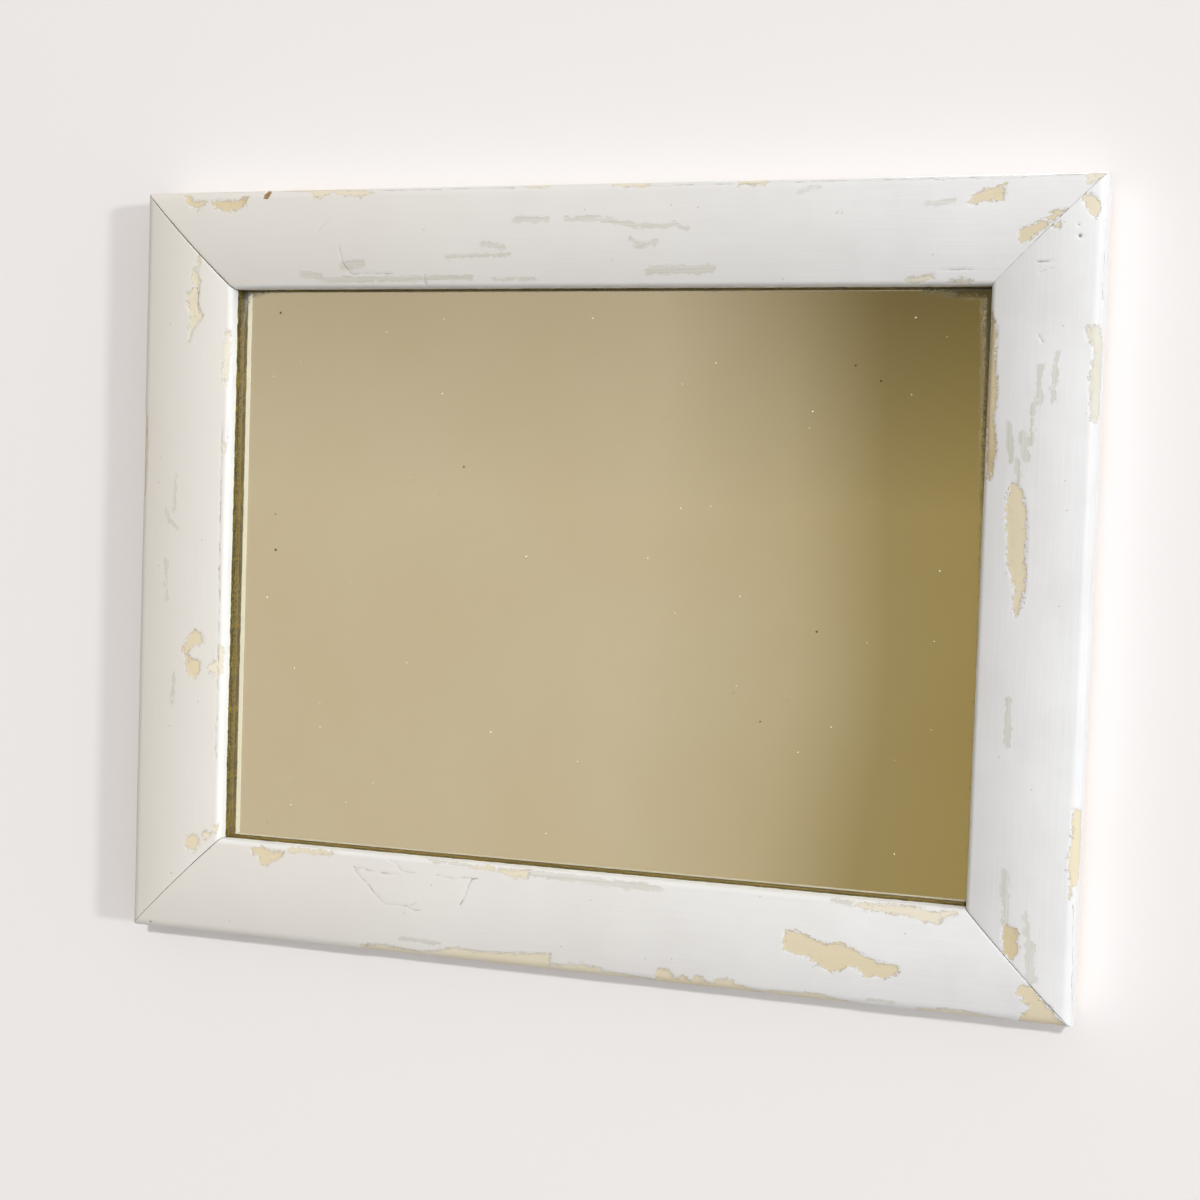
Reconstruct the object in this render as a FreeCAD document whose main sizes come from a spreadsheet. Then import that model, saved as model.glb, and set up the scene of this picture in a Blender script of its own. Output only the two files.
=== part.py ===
import FreeCAD, Part
import math
import os
import Sketcher

# Wall mirror: a mitred wooden moulding round a plate of silvered glass, closed behind by a board and hung
# from two wire rings. Millimetres. X is to the right, Z is up, and the mirror looks along -Y. The origin is
# the middle of the plane where the backs of the four rails meet the wall.

Vector = FreeCAD.Vector
Rotation = FreeCAD.Rotation

SIZES = {
    # the opening that shows the glass, and the moulding round it
    "sight_width": 394.0,
    "sight_height": 292.0,
    "moulding_width": 51.0,
    "side_height": 18.0,
    "outer_round_radius": 6.0,
    "crown_radius": 90.0,
    "lip_height": 11.0,
    "lip_round_radius": 4.0,
    "arris_setback": 1.8,
    "rebate_width": 7.0,
    "brad_room": 2.6,
    # the layers that lie in the rebate, from the front to the back
    "glass_thickness": 3.0,
    "coat_thickness": 0.2,
    "card_thickness": 1.0,
    "board_thickness": 3.2,
    "glass_side_gap": 0.8,
    "glass_top_gap": 1.2,
    # brads over the edge of the backing board
    "brad_radius": 0.7,
    "brad_length": 20.0,
    "brad_embed": 10.0,
    "brad_tip_length": 2.0,
    "brad_head_radius": 1.1,
    "brad_head_thickness": 0.6,
    "brad_board_gap": 0.1,
    # finishing nails across the mitres
    "nail_radius": 0.8,
    "nail_length": 38.0,
    "nail_tip_length": 2.4,
    "nail_head_radius": 1.3,
    "nail_head_thickness": 0.8,
    "nail_sink": 0.8,
    "nail_inset": 18.0,
    "nail_layer_gap": 1.2,
    # corrugated fasteners across the mitres, driven in from behind
    "fastener_length": 16.0,
    "fastener_depth": 6.4,
    "fastener_thickness": 0.6,
    "fastener_wave_height": 2.4,
    "fastener_sink": 0.1,
    # strap hangers on the side rails
    "hanger_height": 70.0,
    "strap_thickness": 1.0,
    "strap_width": 12.0,
    "strap_length": 26.0,
    "strap_bend_drop": 4.5,
    "strap_corner_radius": 2.5,
    "ring_wire_radius": 1.25,
    "ring_width": 19.0,
    "ring_reach": 15.0,
    "ring_corner_radius": 2.5,
    "ring_rest_gap": 0.3,
    "screw_radius": 1.6,
    "screw_length": 13.0,
    "screw_tip_length": 4.0,
    "screw_head_radius": 3.0,
    "screw_head_height": 2.0,
    "screw_slot_width": 0.8,
    "screw_slot_depth": 0.9,
    "upper_screw_drop": 8.5,
    "lower_screw_drop": 21.0,
    # clearances, and how far a cutting tool runs past the face that it cuts
    "running_clearance": 0.05,
    "driven_clearance": 0.05,
    "screw_hole_clearance": 0.2,
    "cut_overrun": 2.0,
}

# Places along a rail as shares of the sight opening, and along the back of a mitre as shares of its run.
LONG_BRAD_SHARES = (-0.375, -0.125, 0.125, 0.375)
SHORT_BRAD_SHARES = (-0.33, 0.0, 0.33)
FASTENER_SHARES = (0.32, 0.72)
FASTENER_WAVES = 4

# Sums of sizes that several pieces share.
REBATE_DEPTH = (
    "(Sizes.glass_thickness + Sizes.coat_thickness + Sizes.card_thickness + Sizes.board_thickness"
    " + Sizes.brad_room)"
)
ARRIS_INSET = "(Sizes.moulding_width - Sizes.arris_setback)"
ARRIS_HEIGHT = f"({REBATE_DEPTH} + Sizes.lip_height)"
BACK_FACE_WIDTH = "(Sizes.moulding_width - Sizes.rebate_width)"
BRAD_HEIGHT = "(Sizes.brad_room - Sizes.brad_head_radius - Sizes.brad_board_gap)"
LOW_NAIL_HEIGHT = (
    "(Sizes.fastener_sink + Sizes.fastener_depth + Sizes.nail_layer_gap + Sizes.nail_head_radius)"
)
HIGH_NAIL_HEIGHT = f"({LOW_NAIL_HEIGHT} + 2 * Sizes.nail_radius + Sizes.nail_layer_gap)"
RING_BORE = "(Sizes.ring_wire_radius + Sizes.running_clearance)"
RING_AXIS_DEPTH = f"({RING_BORE} + Sizes.strap_thickness)"
STRAP_BACK = "(2 * Sizes.strap_thickness)"
SCREW_DROPS = ("Sizes.upper_screw_drop", "Sizes.lower_screw_drop")

# The four sides of the frame. A rail is laid out flat on its back, with its outer edge along X and its sight
# edge towards +Y, then turned about the wall's normal to its side and moved out from the middle.
SIDES = {
    "bottom": {"turn": 0, "out": (0, -1), "along": "sight_width", "across": "sight_height"},
    "right": {"turn": -90, "out": (1, 0), "along": "sight_height", "across": "sight_width"},
    "top": {"turn": 180, "out": (0, 1), "along": "sight_width", "across": "sight_height"},
    "left": {"turn": 90, "out": (-1, 0), "along": "sight_height", "across": "sight_width"},
}

# The nails through the long rails run in one layer, and those through the short rails in a layer before it.
NAIL_HEIGHTS = {"sight_width": LOW_NAIL_HEIGHT, "sight_height": HIGH_NAIL_HEIGHT}

# Each corner: which side of the origin it is on, and the two rails that meet there with the end of each.
CORNERS = {
    "top_left": {"sign": (-1, 1), "ends": (("top", 1), ("left", -1))},
    "top_right": {"sign": (1, 1), "ends": (("top", -1), ("right", 1))},
    "bottom_left": {"sign": (-1, -1), "ends": (("bottom", -1), ("left", 1))},
    "bottom_right": {"sign": (1, -1), "ends": (("bottom", 1), ("right", -1))},
}

HANGERS = {"left": -1, "right": 1}

ALONG_Y = Rotation(Vector(1, 0, 0), -90)
AGAINST_Y = Rotation(Vector(1, 0, 0), 90)

doc = FreeCAD.newDocument("WallMirror")
sheet = doc.addObject("Spreadsheet::Sheet", "Sizes")
for row, (alias, number) in enumerate(SIZES.items(), start=1):
    sheet.set(f"A{row}", alias)
    sheet.set(f"B{row}", str(number))
    sheet.setAlias(f"B{row}", alias)
doc.recompute()


def value(expression):
    """The number that an expression of the sheet's sizes gives."""
    return float(sheet.evalExpression(expression))


def bind(obj, **expressions):
    """Ties properties of an object to expressions of the sheet's sizes."""
    for name, expression in expressions.items():
        obj.setExpression(name, expression)


def place(obj, rotation, x="0", y="0", z="0"):
    """Turns an object and ties its place to expressions."""
    obj.Placement = FreeCAD.Placement(Vector(), rotation)
    for axis, expression in (("x", x), ("y", y), ("z", z)):
        obj.setExpression(f"Placement.Base.{axis}", expression)


def place_on_side(obj, side):
    """Stands an object that was laid out flat on its back in its place on one side of the frame."""
    data = SIDES[side]
    reach = f"(Sizes.{data['across']} / 2 + Sizes.moulding_width)"
    turn = Rotation(Vector(0, 1, 0), data["turn"]).multiply(AGAINST_Y)
    place(obj, turn, x=f"{data['out'][0]} * {reach}", z=f"{data['out'][1]} * {reach}")


def new_sketch(body, role, name):
    """A sketch on one of a body's own origin planes."""
    plane = next(item for item in body.Origin.OriginFeatures if item.Role == role)
    sketch = body.newObject("Sketcher::SketchObject", name)
    sketch.AttachmentSupport = [(plane, "")]
    sketch.MapMode = "FlatFace"
    return sketch


def pin_point(sketch, item, end, x, y):
    """Ties one point of a sketch's line, arc or circle to two expressions."""
    for kind, expression in (("DistanceX", x), ("DistanceY", y)):
        index = sketch.addConstraint(Sketcher.Constraint(kind, -1, 1, item, end, value(expression)))
        sketch.setExpression(f"Constraints[{index}]", expression)


def set_radius(sketch, item, expression):
    """Ties the radius of a sketch's arc or circle to an expression."""
    index = sketch.addConstraint(Sketcher.Constraint("Radius", item, value(expression)))
    sketch.setExpression(f"Constraints[{index}]", expression)


def add_line(sketch, start, end):
    """A line between two points given as numbers."""
    return sketch.addGeometry(Part.LineSegment(Vector(*start, 0), Vector(*end, 0)), False)


def add_arc(sketch, centre, radius, start_point, end_point):
    """An arc, counter-clockwise about its centre from one point to another."""
    angles = [math.atan2(point[1] - centre[1], point[0] - centre[0]) for point in (start_point, end_point)]
    circle = Part.Circle(Vector(*centre, 0), Vector(0, 0, 1), radius)
    return sketch.addGeometry(Part.ArcOfCircle(circle, angles[0], angles[1]), False)


def add_polygon(sketch, points):
    """A closed outline of straight lines whose corners are pairs of expressions."""
    numbers = [(value(x), value(y)) for x, y in points]
    first = None
    for index, start in enumerate(numbers):
        item = add_line(sketch, start, numbers[(index + 1) % len(numbers)])
        first = item if first is None else first
    for index, (x, y) in enumerate(points):
        item = first + index
        following = first + (index + 1) % len(points)
        sketch.addConstraint(Sketcher.Constraint("Coincident", item, 2, following, 1))
        pin_point(sketch, item, 1, x, y)


def add_circle(sketch, x, y, radius):
    """A circle whose centre and radius are expressions."""
    centre = Vector(value(x), value(y), 0)
    item = sketch.addGeometry(Part.Circle(centre, Vector(0, 0, 1), value(radius)), False)
    pin_point(sketch, item, 3, x, y)
    set_radius(sketch, item, radius)


def cylinder(name, radius, length, rotation, x="0", y="0", z="0"):
    """A round bar or bore from a point along a direction."""
    bar = doc.addObject("Part::Cylinder", name)
    bind(bar, Radius=radius, Height=length)
    place(bar, rotation, x, y, z)
    return bar


def fuse(name, shapes):
    """Overlapping or touching solids made one."""
    joined = doc.addObject("Part::MultiFuse", name)
    joined.Shapes = shapes
    return joined


def group(name, links):
    """Separate solids under one name."""
    gathered = doc.addObject("Part::Compound", name)
    gathered.Links = links
    return gathered


def crown_centre():
    """The centre of the crown's arc, which runs from the outer roundover to the arris by the sight edge."""
    inner = Vector(value("Sizes.outer_round_radius"), value("Sizes.side_height"), 0)
    arris = Vector(value(ARRIS_INSET), value(ARRIS_HEIGHT), 0)
    to_arris = value("Sizes.crown_radius")
    to_inner = value("Sizes.crown_radius - Sizes.outer_round_radius")
    line = arris - inner
    along = (to_inner**2 - to_arris**2 + line.Length**2) / (2 * line.Length)
    aside = math.sqrt(to_inner**2 - along**2)
    direction = Vector(line).normalize()
    return inner + direction * along + Vector(direction.y, -direction.x, 0) * aside


def rail_section(body):
    """The moulding's section: flat back and side, outer roundover, crown, rounded lip and rebate."""
    sketch = new_sketch(body, "YZ_Plane", f"{body.Name}_section")
    width = value("Sizes.moulding_width")
    depth = value(REBATE_DEPTH)
    side = value("Sizes.side_height")
    outer_radius = value("Sizes.outer_round_radius")
    lip_radius = value("Sizes.lip_round_radius")
    centre = crown_centre()
    outer_centre = Vector(outer_radius, side, 0)
    tangent = outer_centre + (outer_centre - centre).normalize() * outer_radius
    arris = (value(ARRIS_INSET), value(ARRIS_HEIGHT))
    lip_rise = math.sqrt(lip_radius**2 - (lip_radius - value("Sizes.arris_setback")) ** 2)
    lip_top = (width, arris[1] - lip_rise)
    wall = width - value("Sizes.rebate_width")

    side_line = add_line(sketch, (0, 0), (0, side))
    outer_arc = add_arc(sketch, (outer_radius, side), outer_radius, (tangent.x, tangent.y), (0, side))
    crown_radius = value("Sizes.crown_radius")
    crown_arc = add_arc(sketch, (centre.x, centre.y), crown_radius, arris, (tangent.x, tangent.y))
    lip_arc = add_arc(sketch, (width - lip_radius, lip_top[1]), lip_radius, lip_top, arris)
    lip_line = add_line(sketch, lip_top, (width, depth))
    shelf_line = add_line(sketch, (width, depth), (wall, depth))
    wall_line = add_line(sketch, (wall, depth), (wall, 0))
    back_line = add_line(sketch, (wall, 0), (0, 0))

    for first, first_end, second, second_end in (
        (crown_arc, 1, lip_arc, 2),
        (lip_line, 2, shelf_line, 1),
        (shelf_line, 2, wall_line, 1),
        (wall_line, 2, back_line, 1),
        (back_line, 2, side_line, 1),
    ):
        sketch.addConstraint(Sketcher.Constraint("Coincident", first, first_end, second, second_end))
    for first, first_end, second, second_end in (
        (side_line, 2, outer_arc, 2),
        (outer_arc, 1, crown_arc, 2),
        (lip_line, 1, lip_arc, 1),
    ):
        sketch.addConstraint(Sketcher.Constraint("Tangent", first, first_end, second, second_end))
    sketch.addConstraint(Sketcher.Constraint("Coincident", side_line, 1, -1, 1))
    for item in (side_line, lip_line, wall_line):
        sketch.addConstraint(Sketcher.Constraint("Vertical", item))
    for item in (shelf_line, back_line):
        sketch.addConstraint(Sketcher.Constraint("Horizontal", item))
    set_radius(sketch, outer_arc, "Sizes.outer_round_radius")
    set_radius(sketch, crown_arc, "Sizes.crown_radius")
    set_radius(sketch, lip_arc, "Sizes.lip_round_radius")
    pin_point(sketch, crown_arc, 1, ARRIS_INSET, ARRIS_HEIGHT)
    pin_point(sketch, shelf_line, 1, "Sizes.moulding_width", REBATE_DEPTH)
    for kind, item, end, expression in (
        ("DistanceY", side_line, 2, "Sizes.side_height"),
        ("DistanceX", wall_line, 2, BACK_FACE_WIDTH),
    ):
        index = sketch.addConstraint(Sketcher.Constraint(kind, -1, 1, item, end, value(expression)))
        sketch.setExpression(f"Constraints[{index}]", expression)
    return sketch


def rail_blank(side):
    """One length of moulding with a mitre at each end, before it is drilled."""
    length = f"(Sizes.{SIDES[side]['along']} + 2 * Sizes.moulding_width)"
    body = doc.addObject("PartDesign::Body", f"{side}_rail_blank")
    pad = body.newObject("PartDesign::Pad", f"{side}_rail_run")
    pad.Profile = rail_section(body)
    pad.SideType = "Symmetric"
    bind(pad, Length=length)

    mitres = new_sketch(body, "XY_Plane", f"{side}_rail_mitre_lines")
    past_end = f"({length} / 2 + Sizes.cut_overrun)"
    past_lip = "(Sizes.moulding_width + Sizes.cut_overrun)"
    for end in (1, -1):
        add_polygon(mitres, (
            (f"{end} * {past_end}", "-Sizes.cut_overrun"),
            (f"{end} * {past_end}", past_lip),
            (f"{end} * ({length} / 2 - {past_lip})", past_lip),
        ))
    cut = body.newObject("PartDesign::Pocket", f"{side}_rail_mitres")
    cut.Profile = mitres
    cut.Type = "ThroughAll"
    cut.SideType = "Symmetric"
    body.Tip = cut
    place_on_side(body, side)
    return body


def nail_place(side, end):
    """Where a nail enters a rail laid flat: along it, and above its back."""
    along = f"{end} * (Sizes.{SIDES[side]['along']} / 2 + Sizes.moulding_width - Sizes.nail_inset)"
    return along, NAIL_HEIGHTS[SIDES[side]["along"]]


def nail(name, side, end):
    """A finishing nail driven through a rail's outer side into its neighbour, with its head sunk."""
    along, height = nail_place(side, end)
    shank_length = "(Sizes.nail_length - Sizes.nail_tip_length)"
    head = cylinder(f"{name}_head", "Sizes.nail_head_radius", "Sizes.nail_head_thickness", ALONG_Y,
                    along, "Sizes.nail_sink", height)
    shank = cylinder(f"{name}_shank", "Sizes.nail_radius", shank_length, ALONG_Y,
                     along, "Sizes.nail_sink", height)
    tip = doc.addObject("Part::Cone", f"{name}_tip")
    bind(tip, Radius1="Sizes.nail_radius", Radius2="0", Height="Sizes.nail_tip_length")
    place(tip, ALONG_Y, along, f"Sizes.nail_sink + {shank_length}", height)
    whole = fuse(name, [head, shank, tip])
    place_on_side(whole, side)
    return whole


def nail_hole(name, side, end):
    """The hole for one nail: a wide bore over the sunk head, then a bore for the shank."""
    along, height = nail_place(side, end)
    head_bore = cylinder(f"{name}_head_bore", "Sizes.nail_head_radius + Sizes.driven_clearance",
                         "Sizes.cut_overrun + Sizes.nail_sink + Sizes.nail_head_thickness", ALONG_Y,
                         along, "-Sizes.cut_overrun", height)
    shank_bore = cylinder(f"{name}_shank_bore", "Sizes.nail_radius + Sizes.driven_clearance",
                          "Sizes.nail_sink + Sizes.nail_length + Sizes.driven_clearance", ALONG_Y,
                          along, "0", height)
    hole = fuse(name, [head_bore, shank_bore])
    place_on_side(hole, side)
    return hole


def brad_places(side):
    """Where the brads stand along a rail laid flat."""
    along = SIDES[side]["along"]
    shares = LONG_BRAD_SHARES if along == "sight_width" else SHORT_BRAD_SHARES
    return [f"{share} * Sizes.{along}" for share in shares]


def brad(name, side, along):
    """A brad pushed halfway into the rebate's wall, its head end lying over the backing board."""
    seat = f"({BACK_FACE_WIDTH} - Sizes.brad_embed)"
    tip = doc.addObject("Part::Cone", f"{name}_tip")
    bind(tip, Radius1="0", Radius2="Sizes.brad_radius", Height="Sizes.brad_tip_length")
    place(tip, ALONG_Y, along, seat, BRAD_HEIGHT)
    shank_length = "Sizes.brad_length - Sizes.brad_tip_length"
    shank = cylinder(f"{name}_shank", "Sizes.brad_radius", shank_length, ALONG_Y,
                     along, f"{seat} + Sizes.brad_tip_length", BRAD_HEIGHT)
    head = cylinder(f"{name}_head", "Sizes.brad_head_radius", "Sizes.brad_head_thickness", ALONG_Y,
                    along, f"{seat} + Sizes.brad_length - Sizes.brad_head_thickness", BRAD_HEIGHT)
    whole = fuse(name, [tip, shank, head])
    place_on_side(whole, side)
    return whole


def brad_hole(name, side, along):
    """The hole for one brad, open at the rebate's wall."""
    hole = cylinder(f"{name}_bore", "Sizes.brad_radius + Sizes.driven_clearance",
                    "Sizes.driven_clearance + Sizes.brad_embed + Sizes.cut_overrun", ALONG_Y,
                    along, f"{BACK_FACE_WIDTH} - Sizes.brad_embed - Sizes.driven_clearance", BRAD_HEIGHT)
    placed = group(name, [hole])
    place_on_side(placed, side)
    return placed


def wave_strip(corner, share, clearance, front, back):
    """A corrugated strip that crosses a mitre square to it, between two depths, grown by a clearance."""
    sign_x, sign_z = CORNERS[corner]["sign"]
    inset = share * value(BACK_FACE_WIDTH)
    centre = Vector(
        sign_x * (value("Sizes.sight_width / 2 + Sizes.moulding_width") - inset),
        back,
        sign_z * (value("Sizes.sight_height / 2 + Sizes.moulding_width") - inset),
    )
    across = Vector(sign_x, 0, -sign_z).normalize()
    along_mitre = Vector(sign_x, 0, sign_z).normalize()
    steps = 2 * FASTENER_WAVES
    length = value("Sizes.fastener_length")
    rise = value("Sizes.fastener_wave_height")
    step = length / steps
    slant = math.hypot(step, rise) / step
    offset = (value("Sizes.fastener_thickness") / 2 + clearance) * slant
    places = []
    for index in range(steps + 1):
        run = index * step - length / 2
        height = rise / 2 if index % 2 else -rise / 2
        if index == 0:
            run -= clearance
            height -= clearance * rise / step
        if index == steps:
            run += clearance
            height -= clearance * rise / step
        places.append((run, height))
    one_face = [centre + across * run + along_mitre * (height + offset) for run, height in places]
    other_face = [centre + across * run + along_mitre * (height - offset) for run, height in reversed(places)]
    outline = Part.makePolygon(one_face + other_face + one_face[:1])
    return Part.Face(outline).extrude(Vector(0, front - back, 0))


def corner_fasteners(corner):
    """The corrugated fasteners across one mitre, just under the surface of the back."""
    sink = value("Sizes.fastener_sink")
    depth = value("Sizes.fastener_depth")
    strips = [wave_strip(corner, share, 0, -sink - depth, -sink) for share in FASTENER_SHARES]
    piece = doc.addObject("Part::Feature", f"{corner}_fasteners")
    piece.Shape = Part.makeCompound(strips)
    return piece


def corner_slots(corner):
    """The slots that the corrugated fasteners cut in the two rails of a corner."""
    clearance = value("Sizes.driven_clearance")
    front = -value("Sizes.fastener_sink + Sizes.fastener_depth + Sizes.driven_clearance")
    over = value("Sizes.cut_overrun")
    strips = [wave_strip(corner, share, clearance, front, over) for share in FASTENER_SHARES]
    piece = doc.addObject("Part::Feature", f"{corner}_slots")
    piece.Shape = Part.makeCompound(strips)
    return piece


def hanger_x(side):
    """The middle line of a hanger: the middle of the flat back of its rail."""
    reach = f"(Sizes.sight_width / 2 + Sizes.moulding_width - {BACK_FACE_WIDTH} / 2)"
    return f"{HANGERS[side]} * {reach}"


def hanger_strap(side):
    """A steel strap folded round the ring's bar and laid double on the rail, with two screw holes."""
    body = doc.addObject("PartDesign::Body", f"{side}_hanger_strap")
    fold = new_sketch(body, "YZ_Plane", f"{side}_strap_fold")
    outer = value(RING_AXIS_DEPTH)
    doubled = value(STRAP_BACK)
    length = value("Sizes.strap_length")
    drop = value("Sizes.strap_bend_drop")
    rail_leaf = add_line(fold, (0, -length), (0, 0))
    knuckle = add_arc(fold, (outer, 0), outer, (2 * outer, 0), (0, 0))
    bend = add_line(fold, (2 * outer, 0), (doubled, -drop))
    outer_leaf = add_line(fold, (doubled, -drop), (doubled, -length))
    end_line = add_line(fold, (doubled, -length), (0, -length))
    for first, first_end, second, second_end in (
        (rail_leaf, 2, knuckle, 2),
        (knuckle, 1, bend, 1),
        (bend, 2, outer_leaf, 1),
        (outer_leaf, 2, end_line, 1),
        (end_line, 2, rail_leaf, 1),
    ):
        fold.addConstraint(Sketcher.Constraint("Coincident", first, first_end, second, second_end))
    fold.addConstraint(Sketcher.Constraint("PointOnObject", knuckle, 3, -1))
    pin_point(fold, rail_leaf, 1, "0", "-Sizes.strap_length")
    pin_point(fold, rail_leaf, 2, "0", "0")
    pin_point(fold, bend, 1, f"2 * {RING_AXIS_DEPTH}", "0")
    pin_point(fold, outer_leaf, 1, STRAP_BACK, "-Sizes.strap_bend_drop")
    pin_point(fold, end_line, 1, STRAP_BACK, "-Sizes.strap_length")
    add_circle(fold, RING_AXIS_DEPTH, "0", RING_BORE)
    pad = body.newObject("PartDesign::Pad", f"{side}_strap_sheet")
    pad.Profile = fold
    pad.SideType = "Symmetric"
    bind(pad, Length="Sizes.strap_width")

    holes = new_sketch(body, "XZ_Plane", f"{side}_strap_hole_centres")
    for drop_size in SCREW_DROPS:
        add_circle(holes, "0", f"-{drop_size}", "Sizes.screw_radius + Sizes.screw_hole_clearance")
    pocket = body.newObject("PartDesign::Pocket", f"{side}_strap_holes")
    pocket.Profile = holes
    pocket.Type = "ThroughAll"
    pocket.SideType = "Symmetric"
    doc.recompute()

    foot = -length
    corners = [
        f"Edge{index}"
        for index, edge in enumerate(pocket.Shape.Edges, start=1)
        if all(abs(point.Point.z - foot) < Part.Precision.confusion() for point in edge.Vertexes)
        and abs(edge.tangentAt(edge.FirstParameter).y) > abs(edge.tangentAt(edge.FirstParameter).x)
    ]
    rounded = body.newObject("PartDesign::Fillet", f"{side}_strap_corners")
    rounded.Base = (pocket, corners)
    bind(rounded, Radius="Sizes.strap_corner_radius")
    body.Tip = rounded
    place(body, Rotation(), x=hanger_x(side), z="Sizes.hanger_height")
    return body


def d_ring(side):
    """A wire ring with a straight bar in the knuckle, swung up to lean on the rail, as when it is hung."""
    body = doc.addObject("PartDesign::Body", f"{side}_d_ring")
    path = new_sketch(body, "XZ_Plane", f"{side}_ring_path")
    half = value("Sizes.ring_width / 2")
    reach = value("Sizes.ring_reach")
    corner = value("Sizes.ring_corner_radius")
    shoulder = reach - half
    bar = add_line(path, (-(half - corner), 0), (half - corner, 0))
    right_corner = add_arc(path, (half - corner, corner), corner, (half - corner, 0), (half, corner))
    right_leg = add_line(path, (half, corner), (half, shoulder))
    bow = add_arc(path, (0, shoulder), half, (half, shoulder), (-half, shoulder))
    left_leg = add_line(path, (-half, shoulder), (-half, corner))
    left_circle = Part.Circle(Vector(corner - half, corner, 0), Vector(0, 0, 1), corner)
    left_corner = path.addGeometry(Part.ArcOfCircle(left_circle, math.pi, 1.5 * math.pi), False)
    for first, first_end, second, second_end in (
        (bar, 2, right_corner, 1),
        (right_corner, 2, right_leg, 1),
        (right_leg, 2, bow, 1),
        (bow, 2, left_leg, 1),
        (left_leg, 2, left_corner, 1),
        (left_corner, 2, bar, 1),
    ):
        path.addConstraint(Sketcher.Constraint("Tangent", first, first_end, second, second_end))
    for item in (right_corner, left_corner):
        set_radius(path, item, "Sizes.ring_corner_radius")
    pin_point(path, bow, 1, "Sizes.ring_width / 2", "Sizes.ring_reach - Sizes.ring_width / 2")
    pin_point(path, bow, 2, "-Sizes.ring_width / 2", "Sizes.ring_reach - Sizes.ring_width / 2")
    path.addConstraint(Sketcher.Constraint("PointOnObject", bar, 1, -1))
    path.addConstraint(Sketcher.Constraint("Horizontal", bar))

    section = new_sketch(body, "YZ_Plane", f"{side}_ring_wire_section")
    add_circle(section, "0", "0", "Sizes.ring_wire_radius")
    doc.recompute()
    wire = body.newObject("PartDesign::AdditivePipe", f"{side}_ring_wire")
    wire.Profile = section
    wire.Spine = (path, [f"Edge{index}" for index in range(1, len(path.Shape.Edges) + 1)])
    body.Tip = wire
    place(body, AGAINST_Y, x=hanger_x(side), y=RING_AXIS_DEPTH, z="Sizes.hanger_height")
    lean = f"asin(({RING_AXIS_DEPTH} - Sizes.ring_wire_radius - Sizes.ring_rest_gap) / Sizes.ring_reach)"
    body.setExpression("Placement.Rotation.Angle", lean)
    return body


def hanger_screw(name, side, drop):
    """A slotted round-head wood screw, its head on the strap and its shank in the rail."""
    body = doc.addObject("PartDesign::Body", name)
    turned = new_sketch(body, "XY_Plane", f"{name}_half_section")
    head_radius = value("Sizes.screw_head_radius")
    head_height = value("Sizes.screw_head_height")
    shank = value("Sizes.screw_radius")
    length = value("Sizes.screw_length")
    tip_top = value("Sizes.screw_tip_length") - length
    dome_radius = (head_radius**2 + head_height**2) / (2 * head_height)
    dome = add_arc(turned, (0, head_height - dome_radius), dome_radius, (head_radius, 0), (0, head_height))
    axis = add_line(turned, (0, head_height), (0, -length))
    tip = add_line(turned, (0, -length), (shank, tip_top))
    side_line = add_line(turned, (shank, tip_top), (shank, 0))
    seat = add_line(turned, (shank, 0), (head_radius, 0))
    for first, first_end, second, second_end in (
        (dome, 2, axis, 1),
        (axis, 2, tip, 1),
        (tip, 2, side_line, 1),
        (side_line, 2, seat, 1),
        (seat, 2, dome, 1),
    ):
        turned.addConstraint(Sketcher.Constraint("Coincident", first, first_end, second, second_end))
    turned.addConstraint(Sketcher.Constraint("PointOnObject", dome, 3, -2))
    pin_point(turned, axis, 1, "0", "Sizes.screw_head_height")
    pin_point(turned, axis, 2, "0", "-Sizes.screw_length")
    pin_point(turned, tip, 2, "Sizes.screw_radius", "Sizes.screw_tip_length - Sizes.screw_length")
    pin_point(turned, side_line, 2, "Sizes.screw_radius", "0")
    pin_point(turned, seat, 2, "Sizes.screw_head_radius", "0")
    solid = body.newObject("PartDesign::Revolution", f"{name}_turned")
    solid.Profile = turned
    solid.ReferenceAxis = (turned, ["V_Axis"])

    slot = new_sketch(body, "XY_Plane", f"{name}_slot_outline")
    past_head = "(Sizes.screw_head_radius + Sizes.cut_overrun)"
    slot_floor = "(Sizes.screw_head_height - Sizes.screw_slot_depth)"
    past_top = "(Sizes.screw_head_height + Sizes.cut_overrun)"
    add_polygon(slot, (
        (f"-{past_head}", slot_floor),
        (past_head, slot_floor),
        (past_head, past_top),
        (f"-{past_head}", past_top),
    ))
    cut = body.newObject("PartDesign::Pocket", f"{name}_slot")
    cut.Profile = slot
    cut.SideType = "Symmetric"
    bind(cut, Length="Sizes.screw_slot_width")
    body.Tip = cut
    place(body, Rotation(), x=hanger_x(side), y=STRAP_BACK, z=f"Sizes.hanger_height - {drop}")
    return body


def screw_hole(name, side, drop):
    """The hole that a hanger's screw makes in the rail."""
    depth = f"Sizes.screw_length - {STRAP_BACK} + Sizes.driven_clearance + Sizes.cut_overrun"
    return cylinder(name, "Sizes.screw_radius + Sizes.driven_clearance", depth, AGAINST_Y,
                    hanger_x(side), "Sizes.cut_overrun", f"Sizes.hanger_height - {drop}")


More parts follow.
